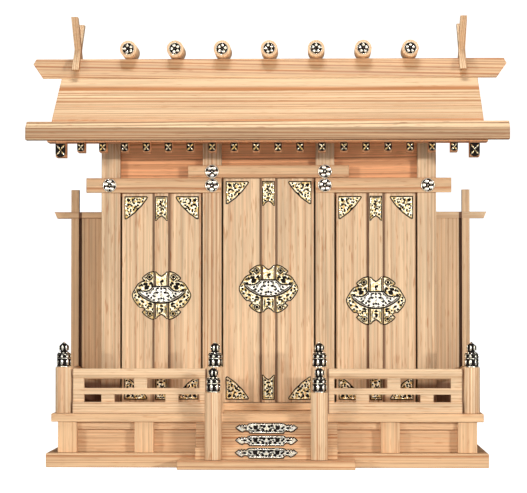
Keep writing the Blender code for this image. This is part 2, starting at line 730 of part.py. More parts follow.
def make_roof():
    """The eave board, the front slope above it and a short back slope, with a bargeboard under each end."""
    heel = EAVE_REACH - EAVE_BOARD_DEPTH
    points = [(-EAVE_REACH, EAVE_BOTTOM), (-EAVE_REACH, EAVE_TOP)]
    points += [(-heel, EAVE_TOP + EAVE_BOARD_DEPTH * SLOPE), (-heel, EAVE_BOTTOM)]
    wood(outline("eave_board_front", points, EAVE_WIDTH, (0.0, RIDGE_Y, 0.0), "X"), WARM_WOOD, EDGE)
    front, back = heel - GAP, BODY_DEPTH / 2 + ROOF_BEHIND
    for name, side, outer in (("front", -1, front), ("back", 1, back)):
        inner = GAP / 2
        points = [(side * outer, roof_top(outer) - ROOF_DROP), (side * outer, roof_top(outer))]
        points += [(side * inner, roof_top(inner)), (side * inner, roof_top(inner) - ROOF_DROP)]
        slope = outline("roof_slope_" + name, points, ROOF_WIDTH, (0.0, RIDGE_Y, 0.0), "X")
        wood(slope, PALE_WOOD, FINE_EDGE)
    upper = [(-front, roof_underside(front)), (0.0, roof_underside(0.0)), (back, roof_underside(back))]
    lower = [(distance, height - BARGE_HEIGHT) for distance, height in reversed(upper)]
    for side in (LEFT, RIGHT):
        middle = (side * (ROOF_WIDTH / 2 - BARGE_INSET - BARGE_THICKNESS / 2), RIDGE_Y, 0.0)
        board = outline(side_name("bargeboard", side), upper + lower, BARGE_THICKNESS, middle, "X")
        wood(board, PALE_WOOD, None)


def make_rafters():
    """A row of small rafter ends with a large one at each end, under a thin batten."""
    head = EAVE_BOTTOM - GAP
    underside = head - BATTEN_THICKNESS
    face = RIDGE_Y - EAVE_REACH
    back = face + BATTEN_SETBACK + BATTEN_DEPTH
    half = BATTEN_WIDTH / 2
    rack = box("rafters_front", (-half, half), (face + BATTEN_SETBACK, back), (underside, head))
    first = -(RAFTERS - 1) / 2 * RAFTER_SPACING
    ends = [(first + count * RAFTER_SPACING, RAFTER_WIDTH, RAFTER_HEIGHT) for count in range(RAFTERS)]
    ends += [(side * END_RAFTER_X, END_RAFTER_WIDTH, END_RAFTER_HEIGHT) for side in (LEFT, RIGHT)]
    pieces = []
    for x, width, height in ends:
        across = (x - width / 2, x + width / 2)
        levels = (underside - height, head - BATTEN_THICKNESS / 2)
        pieces.append(box("rafter", across, (face + RAFTER_SETBACK, back), levels))
    wood(join(rack, *pieces), WARM_WOOD, None)


def ridge_section(clearance):
    """The ridge cap's section, sloping in front and upright behind, grown by a clearance."""
    foot, top, back = RIDGE_FOOT + clearance, RIDGE_TOP + clearance, RIDGE_BACK + clearance
    seat = roof_top(RIDGE_FOOT) + GAP
    high = seat + RIDGE_RISE + clearance
    back_seat = roof_top(RIDGE_BACK) + GAP
    points = [(-foot, seat - clearance), (-foot, seat + RIDGE_LIP), (-top, high), (back, high)]
    points.append((back, back_seat - clearance))
    return points


def make_ridge():
    """The ridge cap: a beam that sits on both roof boards, with pointed ends."""
    seat = roof_top(RIDGE_FOOT) + GAP
    peak = roof_top(0.0) + GAP
    top = seat + RIDGE_RISE
    points = ridge_section(0.0) + [(0.0, peak)]
    ridge = outline("ridge_beam", points, 2 * RIDGE_HALF_TIP + RIDGE_RISE, (0.0, RIDGE_Y, 0.0), "X")
    ends = [(RIDGE_HALF_FOOT, seat - RIDGE_RISE), (RIDGE_HALF_FOOT, seat)]
    ends += [(RIDGE_HALF_TIP, top - RIDGE_TIP_DROP), (RIDGE_HALF_TOP, top)]
    ends.append((RIDGE_HALF_TOP, top + RIDGE_RISE))
    mirrored = [(-x, z) for x, z in reversed(ends)]
    depth = 4 * RIDGE_FOOT
    keep = outline("ridge ends", ends + mirrored, depth, (0.0, RIDGE_Y, 0.0), "Y")
    combine(ridge, [keep], "INTERSECT")
    wood(ridge, PALE_WOOD, None)
    return top


def make_logs(ridge_top):
    radius = LOG_DIAMETER / 2
    for count in range(LOGS):
        x = (count - (LOGS - 1) / 2) * LOG_SPACING
        middle = (x, RIDGE_Y, ridge_top + GAP + radius)
        wood(rod(f"ridge_log_{count + 1}", radius, LOG_LENGTH, middle, "Y"), PALE_WOOD, EDGE)


def bar_outline(lean, crossing):
    """One bar of a chigi, cut level at both ends. lean is the side that its upper end leans to."""
    run = 1 / math.tan(CHIGI_ANGLE)
    half = CHIGI_WIDTH / 2 / math.sin(CHIGI_ANGLE)
    top, foot = CHIGI_RISE, -CHIGI_DROP
    points = [(lean * top * run - half, crossing + top), (lean * foot * run - half, crossing + foot)]
    points += [(lean * foot * run + half, crossing + foot), (lean * top * run + half, crossing + top)]
    return points


def make_chigi(ridge_top):
    """Crossed bars that straddle the ridge cap near its ends."""
    crossing = ridge_top + CHIGI_CROSSING
    for side in (LEFT, RIGHT):
        middle = (side * CHIGI_X, RIDGE_Y, 0.0)
        bars = [
            outline(side_name("chigi", side), bar_outline(lean, crossing), CHIGI_THICKNESS, middle, "X")
            for lean in (-1, 1)
        ]
        crossed = join(bars[0], bars[1])
        crossed.name = side_name("chigi", side)
        saddle_points = ridge_section(GAP)
        saddle = outline("ridge saddle", saddle_points, 2 * CHIGI_THICKNESS, middle, "X")
        cut(crossed, saddle)
        wood(crossed, PALE_WOOD, None)


clear_scene()
PARTS = collection("kamidana")
CUTTERS = collection("kamidana cutters")
make_base()
make_posts()
make_balustrade()
make_body()
make_nageshi()
make_doors()
make_wings()
make_attic()
make_roof()
make_rafters()
RIDGE_LEVEL = make_ridge()
make_logs(RIDGE_LEVEL)
make_chigi(RIDGE_LEVEL)
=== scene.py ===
"""A household shrine shelf of pale softwood: three pairs of doors under one plank roof.

Laid out as an add-on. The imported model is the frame, in metres, with the front facing -Y and the ground
at Z = 0. The operators give the boards their softwood, turn the round posts, logs and rails smooth, add the
stamped gilt fittings and set the stage.
"""

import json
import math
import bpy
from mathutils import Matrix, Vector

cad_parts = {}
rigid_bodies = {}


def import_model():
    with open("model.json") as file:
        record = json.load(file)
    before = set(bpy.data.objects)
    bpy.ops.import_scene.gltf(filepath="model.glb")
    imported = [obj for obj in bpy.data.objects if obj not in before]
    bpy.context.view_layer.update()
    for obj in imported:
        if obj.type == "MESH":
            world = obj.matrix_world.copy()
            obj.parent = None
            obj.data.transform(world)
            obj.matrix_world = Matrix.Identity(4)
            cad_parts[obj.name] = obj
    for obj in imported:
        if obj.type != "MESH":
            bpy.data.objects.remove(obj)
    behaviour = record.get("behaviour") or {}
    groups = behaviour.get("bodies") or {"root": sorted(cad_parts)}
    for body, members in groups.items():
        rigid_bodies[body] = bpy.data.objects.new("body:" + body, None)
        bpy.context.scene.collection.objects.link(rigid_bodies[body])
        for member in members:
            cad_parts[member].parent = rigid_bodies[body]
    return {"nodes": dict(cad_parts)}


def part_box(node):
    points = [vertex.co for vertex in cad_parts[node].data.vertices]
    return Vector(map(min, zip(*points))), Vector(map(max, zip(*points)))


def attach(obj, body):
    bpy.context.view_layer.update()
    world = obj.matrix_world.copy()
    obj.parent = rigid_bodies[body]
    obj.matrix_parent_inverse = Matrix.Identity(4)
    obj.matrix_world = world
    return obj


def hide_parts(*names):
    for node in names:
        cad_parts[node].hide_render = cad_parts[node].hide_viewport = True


bl_info = {
    "name": "Household Shrine Shelf",
    "version": (1, 0, 0),
    "blender": (4, 5, 0),
    "location": "View3D > Sidebar > Shrine",
    "description": "Dresses the packed shrine shelf with softwood and stamped gilt fittings",
    "category": "Add Mesh",
}

import bmesh
import bpy
from bpy.props import FloatProperty, FloatVectorProperty, PointerProperty
from mathutils import Matrix, Vector

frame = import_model()

ACROSS, DEEP, UPRIGHT = Vector((1, 0, 0)), Vector((0, 1, 0)), Vector((0, 0, 1))
SIDES = ("left", "right")
BAYS = ("left", "middle", "right")
POSTS = ("corner_post", "inner_post", "newel")

# Counts, and measures in metres, that the frame's boxes don't give
LOG_COUNT = 7
RAFTER_COUNT = 18
STEP_COUNT = 3
STRIP_HALF_WIDTH = 0.0072
STRIP_THICKNESS = 0.003
LOCK_BAR_LIFT = 0.0013  # strip's face to the lock bar's foot
TOP_RAIL_RADIUS = 0.00546
TOP_RAIL_DROP = 0.0054  # rail's top to its middle
TOP_RAIL_REACH = 0.0001  # beyond the flat rail at each end
ROD_EDGES = {"post": 0.0005, "rail": 0.0003, "log": 0.0008}  # rounding of the rods' ends
NAIL_COVER_X = (0.060, 0.169)
RAFTER_SPACING = 0.0228
RAFTER_CAP_LEVEL = 0.3311
RAFTER_SETBACK = 0.003  # batten's front edge to the rafters' ends
END_RAFTER_X = 0.215
END_CAP_LEVEL = 0.0071  # from the foot of the large rafters
TREAD = 0.008
STEP_PLATE_LIFT = 0.0004  # above the middle of the step's face
MEDALLION_HEIGHTS = {"left": 0.1775, "middle": 0.1845, "right": 0.1719}
WALL_FEET = (0.081, 0.087)  # height at which the shade behind the balustrades is full, and where it ends
OUTER_WALLS = 0.149  # |x| beyond which that shade lies
DEEP_SHADE = (0.11, 0.030, 0.008, 1)  # colour of the wood in all of these shades

# Stamped plates, in millimetres
DARK_EDGE_AND_SHADOW = 0.3  # how far a plate's dark outline, partly its dark cut edge and partly a painted contact shadow, stands out beyond its outline
RIM = 0.3  # half width of a plate's raised rim
OPENING_RISE = 0.05  # height of a dark opening as a share of its half width

# The stage, in metres and degrees
PAPER_FLOOR, PAPER_BEND, PAPER_TOP = 5.2, 0.8, 5.0  # where the paper turns up, the bend's radius, its top
PAPER_FRONT, PAPER_HALF_WIDTH = -6.0, 7.0
PAPER_DROP = 0.0002  # below the ground
CAMERA_PLACE, CAMERA_TILT, CAMERA_TURN = (0.05714, -2.17846, 0.16398), 91.661, 1.598
CAMERA_SHIFT = (-0.003, 0.0039)
LAMPS = (
    # name, size, place and the point that it looks at
    ("key", (0.35, 0.10), (1.45, -1.80, 0.47), (0, 0, 0.22)),
    ("fill", (0.35, 0.10), (-1.45, -1.70, 0.48), (0, 0, 0.22)),
    ("top", (0.6, 0.4), (0.0, -0.55, 1.85), (0, 0, 0.3)),
    ("front", (1.6, 1.2), (0.0, -2.6, 0.62), (0, 0, 0.25)),
)


class ShrineWood(bpy.types.PropertyGroup):
    """Colours and figure of the softwood."""

    pale: FloatVectorProperty(
        name="Pale wood", description="Early wood of the doors, pillars and roof",
        subtype="COLOR", default=(0.775, 0.545, 0.330), min=0, max=1)
    honey: FloatVectorProperty(
        name="Honey wood", description="Early wood of the ridge, beams and base",
        subtype="COLOR", default=(0.735, 0.472, 0.260), min=0, max=1)
    ring_line: FloatVectorProperty(
        name="Ring line", description="Late wood, the dark line of each year's growth",
        subtype="COLOR", default=(0.50, 0.215, 0.085), min=0, max=1)
    # Painted shade: a redder early wood that stands in for the reddened shade and bounce light under the
    # eaves
    ruddy_shade: FloatVectorProperty(
        name="Ruddy wood", description="Early wood of the frieze and rafters under the eaves",
        subtype="COLOR", default=(0.90, 0.430, 0.200), min=0, max=1)
    edge: FloatProperty(
        name="Edge", description="Radius of the boards' softened edges", subtype="DISTANCE",
        unit="LENGTH", default=0.0006, min=0, max=0.003)
    ring_width: FloatProperty(
        name="Ring width", description="One year's growth", subtype="DISTANCE",
        unit="LENGTH", default=0.0024, min=0.0005, max=0.02)


class ShrineFittings(bpy.types.PropertyGroup):
    """Sizes and colours of the stamped gilt fittings."""

    nail_cover: FloatProperty(
        name="Nail cover", description="Diameter of the flower covers on the beams", subtype="DISTANCE",
        unit="LENGTH", default=0.0146, min=0.004, max=0.03)
    log_cap: FloatProperty(
        name="Log cap", description="Diameter of the flower caps on the ridge logs", subtype="DISTANCE",
        unit="LENGTH", default=0.0128, min=0.004, max=0.018)
    side_inset: FloatProperty(
        name="Side inset", description="Leaf's outer edge to its corner plate", subtype="DISTANCE",
        unit="LENGTH", default=0.0029, min=0, max=0.01)
    end_inset: FloatProperty(
        name="End inset", description="Leaf's top or foot to its plates", subtype="DISTANCE",
        unit="LENGTH", default=0.0032, min=0, max=0.01)
    line_weight: FloatProperty(
        name="Line weight", description="How bold the raised lines of the stamped plates are", default=1.25,
        min=0.5, max=3)
    cut_weight: FloatProperty(
        name="Cut weight", description="How wide the dark openings of the stamped plates are", default=2.7,
        min=0.5, max=4)
    gilt: FloatVectorProperty(
        name="Gilt", description="Bright gilding of the raised work", subtype="COLOR",
        default=(1.0, 0.92, 0.70), min=0, max=1)
    pale_gilt: FloatVectorProperty(
        name="Pale gilt", description="Whiter gilding of the round covers and lock bars", subtype="COLOR",
        default=(1.0, 0.97, 0.90), min=0, max=1)
    tarnish: FloatVectorProperty(
        name="Tarnish", description="Dulled patches of the gilding", subtype="COLOR",
        default=(0.86, 0.60, 0.22), min=0, max=1)
    ground: FloatVectorProperty(
        name="Sunk ground", description="Darkened metal between the raised work", subtype="COLOR",
        default=(0.012, 0.008, 0.006), min=0, max=1)


class ShrineStage(bpy.types.PropertyGroup):
    """Camera and lights."""

    lens: FloatProperty(
        name="Lens", description="Focal length of the camera in millimetres", default=140.013, min=10,
        max=400)
    key_power: FloatProperty(
        name="Key light", description="Power of the soft light on the right, in watts", default=25.5, min=0)
    fill_power: FloatProperty(
        name="Fill light", description="Power of the soft light on the left, in watts", default=16.5, min=0)
    front_power: FloatProperty(
        name="Front light", description="Power of the broad soft light behind the camera, in watts",
        default=11.5, min=0)
    top_power: FloatProperty(
        name="Top light", description="Power of the soft light overhead, in watts", default=15.5, min=0)


# Node trees

SOCKET_KINDS = {float: "Float", int: "Int", tuple: "Color"}
SHADED = {"Color": "Color", "Roughness": "Float", "Height": "Float"}
SHAPE = {"Geometry": "Geometry"}


def set_inputs(tree, node, inputs):
    """Sets a node's inputs to values, or links them to sockets."""
    for key, value in inputs.items():
        if isinstance(value, bpy.types.NodeSocket):
            tree.links.new(value, node.inputs[key])
        else:
            node.inputs[key].default_value = value


def add(tree, kind, inputs=None, **settings):
    """A new node with its settings, and its inputs set to values or linked to sockets."""
    node = tree.nodes.new(kind)
    for name, value in settings.items():
        setattr(node, name, value)
    set_inputs(tree, node, inputs or {})
    return node


def out(tree, kind, inputs=None, **settings):
    """The first output of a new node."""
    return add(tree, kind, inputs, **settings).outputs[0]


def maths(tree, operation, *values, clamp=False):
    return out(tree, "ShaderNodeMath", dict(enumerate(values)), operation=operation, use_clamp=clamp)


def times(tree, first, second):
    return maths(tree, "MULTIPLY", first, second)


def plus(tree, first, second):
    return maths(tree, "ADD", first, second)


def minus(tree, first, second):
    return maths(tree, "SUBTRACT", first, second)


def vector(tree, x, y, z):
    return out(tree, "ShaderNodeCombineXYZ", {0: x, 1: y, 2: z})


def vectors(tree, operation, first, second):
    return out(tree, "ShaderNodeVectorMath", {0: first, 1: second}, operation=operation)


def parts(tree, place):
    """The X, Y and Z outputs of a vector."""
    return add(tree, "ShaderNodeSeparateXYZ", {0: place}).outputs


def smooth(tree, value, low, high):
    """0 below low, 1 above high and a soft step between them."""
    inputs = {"Value": value, "From Min": low, "From Max": high}
    return out(tree, "ShaderNodeMapRange", inputs, interpolation_type="SMOOTHSTEP")


def mixed(tree, factor, first, second, blend="MIX"):
    node = add(tree, "ShaderNodeMix", {0: factor, 6: first, 7: second}, data_type="RGBA", blend_type=blend)
    return node.outputs[2]


def noise(tree, spot, stretch, detail=2.0, rough=0.5):
    """A noise node for a vector that is stretched first."""
    scaled = vectors(tree, "MULTIPLY", spot, stretch)
    inputs = {"Vector": scaled, "Scale": 1.0, "Detail": detail, "Roughness": rough}
    return add(tree, "ShaderNodeTexNoise", inputs)


def new_group(name, kind, inputs, outputs):
    """A node group with its sockets: the tree, its inputs' sockets and its output node.

    An input is given by its default, or by its socket's kind where it has no default.
    """
    tree = bpy.data.node_groups.new(name, kind)
    for label, default in inputs.items():
        holds = default if isinstance(default, str) else SOCKET_KINDS[type(default)]
        socket = tree.interface.new_socket(label, in_out="INPUT", socket_type=f"NodeSocket{holds}")
        if holds is not default:
            socket.default_value = default
    for label, holds in outputs.items():
        tree.interface.new_socket(label, in_out="OUTPUT", socket_type=f"NodeSocket{holds}")
    return tree, tree.nodes.new("NodeGroupInput").outputs, tree.nodes.new("NodeGroupOutput")


def softwood_group():
    """Growth rings round a heart line along X, with fibres: colour, roughness and height."""
    tree, take, made = new_group("Softwood grain", "ShaderNodeTree", {
        "Vector": "Vector", "Early Wood": (0.8, 0.55, 0.33, 1), "Late Wood": (0.52, 0.25, 0.1, 1),
        "Ring Width": 0.0024, "Contrast": 0.5, "Waviness": 0.004, "Fibre": 0.2, "Seed": 0.0}, SHADED)
    spot = vectors(tree, "ADD", take["Vector"], vector(tree, take["Seed"], 0.0, 0.0))
    warp = noise(tree, spot, (3.2, 22.0, 22.0), 2.0).outputs["Color"]
    swing = vectors(tree, "SUBTRACT", warp, (0.5, 0.5, 0.5))
    swing = out(tree, "ShaderNodeVectorMath", {0: swing, "Scale": take["Waviness"]}, operation="SCALE")
    bent = vectors(tree, "ADD", take["Vector"], swing)
    _, aside, above = parts(tree, bent)
    radius = maths(tree, "SQRT", plus(tree, maths(tree, "POWER", aside, 2.0),
                                      maths(tree, "POWER", above, 2.0)))
    years = plus(tree, maths(tree, "DIVIDE", radius, take["Ring Width"]), take["Seed"])
    pace = out(tree, "ShaderNodeTexNoise", {"W": times(tree, years, 0.31), "Scale": 1.0, "Detail": 1.0},
               noise_dimensions="1D")
    years = plus(tree, years, times(tree, pace, 2.6))
    share = maths(tree, "FRACT", years)
    dark = times(tree, maths(tree, "POWER", smooth(tree, share, 0.30, 0.90), 1.5),
                 minus(tree, 1.0, smooth(tree, share, 0.93, 1.0)))
    each = out(tree, "ShaderNodeTexWhiteNoise", {"W": maths(tree, "FLOOR", years)}, noise_dimensions="1D")
    dark = times(tree, dark, plus(tree, 0.35, times(tree, each, 0.95)))
    fibre = noise(tree, spot, (9.0, 420.0, 420.0), 3.0, 0.62).outputs[0]
    fibre = times(tree, minus(tree, fibre, 0.5), 1.7)
    fleck = smooth(tree, noise(tree, spot, (60.0, 620.0, 620.0), 1.0).outputs[0], 0.60, 0.74)
    cloud = minus(tree, noise(tree, spot, (4.0, 30.0, 30.0), 2.0).outputs[0], 0.5)
    weight = times(tree, dark, take["Contrast"])
    weight = maths(tree, "ADD", weight, times(tree, fleck, times(tree, take["Fibre"], 0.8)), clamp=True)
    colour = mixed(tree, weight, take["Early Wood"], take["Late Wood"])
    tone = plus(tree, 1.0, plus(tree, times(tree, fibre, take["Fibre"]), times(tree, cloud, 0.22)))
    colour = mixed(tree, 1.0, colour, vector(tree, tone, tone, tone), "MULTIPLY")
    rough = plus(tree, 0.56, minus(tree, times(tree, fibre, 0.3), times(tree, dark, 0.12)))
    height = plus(tree, times(tree, dark, 0.5), fibre)
    set_inputs(tree, made, {"Color": colour, "Roughness": rough, "Height": height})


def new_material(name):
    """An empty material with its Principled shader and Object coordinates."""
    material = bpy.data.materials.new(name)
    material.use_nodes = True
    tree = material.node_tree
    tree.nodes.clear()
    shader = add(tree, "ShaderNodeBsdfPrincipled")
    add(tree, "ShaderNodeOutputMaterial", {"Surface": shader.outputs[0]})
    return material, tree, shader, add(tree, "ShaderNodeTexCoord").outputs["Object"]


def outside(tree, place, zone):
    """1 where a place is beyond any of the zone's limits, such as {"Y<": -0.0585, "|X|>": 0.2127}."""
    part = parts(tree, place)
    found = 0.0
    for limit, value in zone.items():
        along = part["XYZ".index(limit.strip("|<>"))]
        if "|" in limit:
            along = maths(tree, "ABSOLUTE", along)
        beyond = maths(tree, "GREATER_THAN" if ">" in limit else "LESS_THAN", along, value)
        found = maths(tree, "MAXIMUM", found, beyond)
    return found


def near_floor(tree, place):
    """1 low on the front of the outer walls, which the balustrades keep dark, and 0 above their rails."""
    across, _, height = parts(tree, place)
    low = minus(tree, 1.0, smooth(tree, height, *WALL_FEET))
    facing = parts(tree, add(tree, "ShaderNodeNewGeometry").outputs["True Normal"])[1]
    front = times(tree, low, maths(tree, "LESS_THAN", facing, -0.5))
    beyond = maths(tree, "GREATER_THAN", maths(tree, "ABSOLUTE", across), OUTER_WALLS)
    return times(tree, front, beyond)


def in_shade_bands(tree, place, shade_band):
    """Painted shade: 1 in a band on both sides of some upright lines, fading to 0 at its outer end."""
    lines, inner, full, outer = shade_band
    across = maths(tree, "ABSOLUTE", parts(tree, place)[0])
    gap = 1.0
    for line in lines:
        gap = maths(tree, "MINIMUM", gap, maths(tree, "ABSOLUTE", minus(tree, across, line)))
    fade = minus(tree, 1.0, smooth(tree, gap, full, outer))
    return times(tree, fade, maths(tree, "GREATER_THAN", gap, inner))


def softwood(name, along, heart, tone, ring, contrast, wave, fibre, seed, lighter):
    """Softwood whose grain runs along a direction, with the tree's heart line through a point."""
    wood = bpy.context.scene.shrine_wood
    _, tree, shader, spot = new_material(name)
    place = spot
    if name in CROSS_GRAIN:
        zone, (tip, toe) = CROSS_GRAIN[name]
        swapped = out(tree, "ShaderNodeMapping", {"Vector": place, "Rotation": tip, "Location": toe})
        place = add(tree, "ShaderNodeMix", {0: outside(tree, place, zone), 4: place, 5: swapped},
                    data_type="VECTOR").outputs[1]
    turn = along.normalized().rotation_difference(ACROSS)
    centre = -(turn @ Vector(heart))
    lined = out(tree, "ShaderNodeMapping", {"Vector": place, "Location": centre, "Rotation": turn.to_euler()})
    early = [min(1.0, value * lighter) for value in getattr(wood, tone)]
    grain = add(tree, "ShaderNodeGroup", node_tree=bpy.data.node_groups["Softwood grain"])
    set_inputs(tree, grain, {
        "Vector": lined, "Early Wood": (*early, 1), "Late Wood": (*[v * lighter for v in wood.ring_line], 1),
        "Ring Width": wood.ring_width * ring, "Contrast": contrast, "Waviness": wave, "Fibre": fibre,
        "Seed": seed,
    })
    # Painted light: upward faces paler, as if lit from above
    if name in PAINTED_LIT_TOPS:
        up = parts(tree, add(tree, "ShaderNodeNewGeometry").outputs["Normal"])[2]
        pale = (*[min(1.0, value * PAINTED_LIT_TOPS[name]) for value in wood.pale], 1)
        tree.links.new(mixed(tree, smooth(tree, up, 0.3, 0.6), (*early, 1), pale), grain.inputs["Early Wood"])
    colour = grain.outputs["Color"]
    # Painted shade beside the doors' strips, the rails' joints at the posts and the wings' grooves
    if name in SHADE_BANDS:
        *shade_band, depth = SHADE_BANDS[name]
        colour = mixed(tree, times(tree, in_shade_bands(tree, spot, shade_band), depth), colour, DEEP_SHADE)
    if name in SHADED_FEET:
        colour = mixed(tree, times(tree, near_floor(tree, spot), SHADED_FEET[name]), colour, DEEP_SHADE)
    tree.links.new(colour, shader.inputs["Base Color"])
    tree.links.new(grain.outputs["Roughness"], shader.inputs["Roughness"])
    edges = add(tree, "ShaderNodeBevel", {"Radius": wood.edge}, samples=4)
    bump = add(tree, "ShaderNodeBump", {
        "Height": grain.outputs["Height"], "Strength": 0.35, "Distance": 0.00012,
        "Normal": edges.outputs[0]})
    tree.links.new(bump.outputs[0], shader.inputs["Normal"])
    shader.inputs["Specular IOR Level"].default_value = 0.3


# Pieces


def place(piece, body, slot, *stands_for):
    """Lets a finished piece ride on its body and hides the nodes that it stands for; its slot is not used."""
    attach(piece, body)
    if stands_for:
        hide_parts(*stands_for)


def plain_mesh(name, work):
    """A mesh from a bmesh, which is freed."""
    mesh = bpy.data.meshes.new(name)
    work.to_mesh(mesh)
    work.free()
    return mesh


def mesh_object(name, mesh, *materials):
    piece = bpy.data.objects.new(name, mesh)
    bpy.context.scene.collection.objects.link(piece)
    for material in materials:
        mesh.materials.append(material)
    return piece


def turned_mesh(name, profile, centre, axis, sides=64):
    """A closed turned shape from a profile of (radius, height, material index) from pole to pole."""
    turn = UPRIGHT.rotation_difference(axis)
    work = bmesh.new()
    rings = []
    for radius, height, *_ in profile:
        if radius == 0:
            rings.append([work.verts.new(turn @ Vector((0, 0, height)) + centre)])
            continue
        ring = []
        for step in range(sides):
            angle = math.tau * step / sides
            spot = Vector((radius * math.cos(angle), radius * math.sin(angle), height))
            ring.append(work.verts.new(turn @ spot + centre))
        rings.append(ring)
    for point, lower, upper in zip(profile, rings, rings[1:]):
        for step in range(sides):
            after = (step + 1) % sides
            if len(lower) == 1:
                face = work.faces.new((lower[0], upper[after], upper[step]))
            elif len(upper) == 1:
                face = work.faces.new((lower[step], lower[after], upper[0]))
            else:
                face = work.faces.new((lower[step], lower[after], upper[after], upper[step]))
            face.smooth = True
            face.material_index = point[2] if len(point) > 2 else 0
    bmesh.ops.recalc_face_normals(work, faces=work.faces)
    mesh = plain_mesh(name, work)
    mesh.set_sharp_from_angle(angle=math.radians(35))
    return mesh


def rod_profile(radius, low, high, edge):
    """A rod with rounded edges, as (radius, height) from its lower to its upper pole."""
    arc = [math.radians(angle) for angle in (0, 30, 60, 90)]
    lower = [(radius - edge + edge * math.sin(a), low + edge - edge * math.cos(a)) for a in arc]
    upper = [(radius - edge + edge * math.cos(a), high - edge + edge * math.sin(a)) for a in arc]
    return [(0.0, low), *lower, *upper, (0.0, high)]


# Raised metalwork, drawn in millimetres on a flat face: u to the right, v up and w outwards


def flow(points, steps=4):
    """A smooth run through (u, v, half width) points."""
    last = len(points) - 1
    made = []
    for span in range(last):
        four = [points[min(max(span + k, 0), last)] for k in (-1, 0, 1, 2)]
        for step in range(steps):
            t = step / steps
            made.append(tuple(
                0.5 * (2 * b + (c - a) * t + (2 * a - 5 * b + 4 * c - d) * t ** 2
                       + (3 * b - a - 3 * c + d) * t ** 3)
                for a, b, c, d in zip(*four)))
    return [*made, tuple(points[-1])]


def curl(u, v, radius, start, turns=1.25, width=0.5, hand=1):
    """A scroll that winds in to its eye from a start angle in degrees."""
    turns *= 0.8
    steps = max(8, round(13 * turns))
    made = []
    for step in range(steps + 1):
        t = step / steps
        angle = math.radians(start + hand * 360 * turns * t)
        reach = radius * (1 - 0.78 * t ** 0.85)
        made.append((u + reach * math.cos(angle), v + reach * math.sin(angle),
                     width * min(1.0, 0.3 + 3 * t) * (1 - 0.3 * t)))
    return made


def leaf(start, end, width=0.7, bend=0.0):
    """A pointed leaf from one point to another, bowed sideways by a share of its length."""
    (a, b), (c, d) = start, end
    middle = ((a + c) / 2 - (d - b) * bend, (b + d) / 2 + (c - a) * bend)
    return flow([(a, b, width * 0.35), (*middle, width), (c, d, width * 0.15)], 5)


def leaves(*rows):
    """Leaves from rows of both points' u and v, the width and, if wanted, the bend."""
    return [leaf((a, b), (c, d), *form) for a, b, c, d, *form in rows]


def lobed(*runs):
    """A closed outline of smooth runs, each from a sharp corner to where the next one starts."""
    made = []
    for run, after in zip(runs, [*runs[1:], runs[0]]):
        made += [(u, v) for u, v, _ in flow([(u, v, 0) for u, v in [*run, after[0]]])[:-1]]
    return made


def both_halves(runs, end):
    """An outline from its right half, as runs from the foot's middle to the end at the top's middle."""
    stops = [*[run[0] for run in runs[1:]], end]
    back = [[(-u, v) for u, v in reversed([*run[1:], stop])]
            for run, stop in zip(reversed(runs), reversed(stops))]
    return lobed(*runs, *back)


def ring(u, v, radius, width):
    """A closed ring."""
    return [(u + radius * math.cos(math.tau * k / 14), v + radius * math.sin(math.tau * k / 14), width)
            for k in range(14)]


def inset(outline, distance):
    """A counter-clockwise outline moved inwards."""
    made = []
    count = len(outline)
    for index, (u, v) in enumerate(outline):
        before, after = outline[index - 1], outline[(index + 1) % count]
        first = Vector((u - before[0], v - before[1])).normalized()
        second = Vector((after[0] - u, after[1] - v)).normalized()
        normal = Vector((-first.y - second.y, first.x + second.x))
        reach = distance * min(1.6, 2 / max(0.2, normal.length))
        normal = normal.normalized() * reach
        made.append((u + normal.x, v + normal.y))
    return made


def flip(strokes):
    """The same strokes on the other side of u = 0."""
    return [[(-point[0], *point[1:]) for point in stroke] for stroke in strokes]


def joined(tree, *pieces):
    node = tree.nodes.new("GeometryNodeJoinGeometry")
    for piece in pieces:
        tree.links.new(piece, node.inputs[0])
    return node.outputs[0]


def ball(tree, segments, rings):
    return out(tree, "GeometryNodeMeshUVSphere", {"Segments": segments, "Rings": rings, "Radius": 1.0})


def copies(tree, points, piece, **inputs):
    """Instances of a piece on points."""
    return out(tree, "GeometryNodeInstanceOnPoints", {"Points": points, "Instance": piece, **inputs})


def moved(tree, piece, **inputs):
    return out(tree, "GeometryNodeTransform", {"Geometry": piece, **inputs})


def realized(tree, piece):
    return out(tree, "GeometryNodeRealizeInstances", {0: piece})


def soft(tree, piece):
    return out(tree, "GeometryNodeSetShadeSmooth", {"Geometry": piece})


def painted(tree, piece, metal, **inputs):
    return out(tree, "GeometryNodeSetMaterial", {"Geometry": piece, "Material": metal, **inputs})


def rotation(tree, x, y, z):
    return out(tree, "FunctionNodeEulerToRotation", {0: vector(tree, x, y, z)})


def shape_of(tree, item):
    return add(tree, "GeometryNodeObjectInfo", {"Object": item}).outputs["Geometry"]


def named(tree, name, kind):
    return out(tree, "GeometryNodeInputNamedAttribute", {"Name": name}, data_type=kind)


def raised_tree():
    """Sweeps a round section along drawn lines, sets a bead on each point and flattens the whole."""
    tree, take, made = new_group("Raised work", "GeometryNodeTree", {
        "Lines": "Object", "Beads": "Object", "Rise": 0.9, "Section Sides": 8, "Metal": "Material"}, SHAPE)
    section = out(tree, "GeometryNodeCurvePrimitiveCircle", {
        "Resolution": take["Section Sides"], "Radius": 1.0})
    swept = out(tree, "GeometryNodeCurveToMesh", {
        "Curve": shape_of(tree, take["Lines"]), "Profile Curve": section,
        "Scale": out(tree, "GeometryNodeInputRadius"), "Fill Caps": True})
    beads = copies(tree, shape_of(tree, take["Beads"]), ball(tree, 10, 6), Scale=named(tree, "size", "FLOAT"))
    solid = realized(tree, joined(tree, swept, beads))
    flat = moved(tree, solid, Scale=vector(tree, 1.0, 1.0, take["Rise"]))
    set_inputs(tree, made, {0: painted(tree, soft(tree, flat), take["Metal"])})


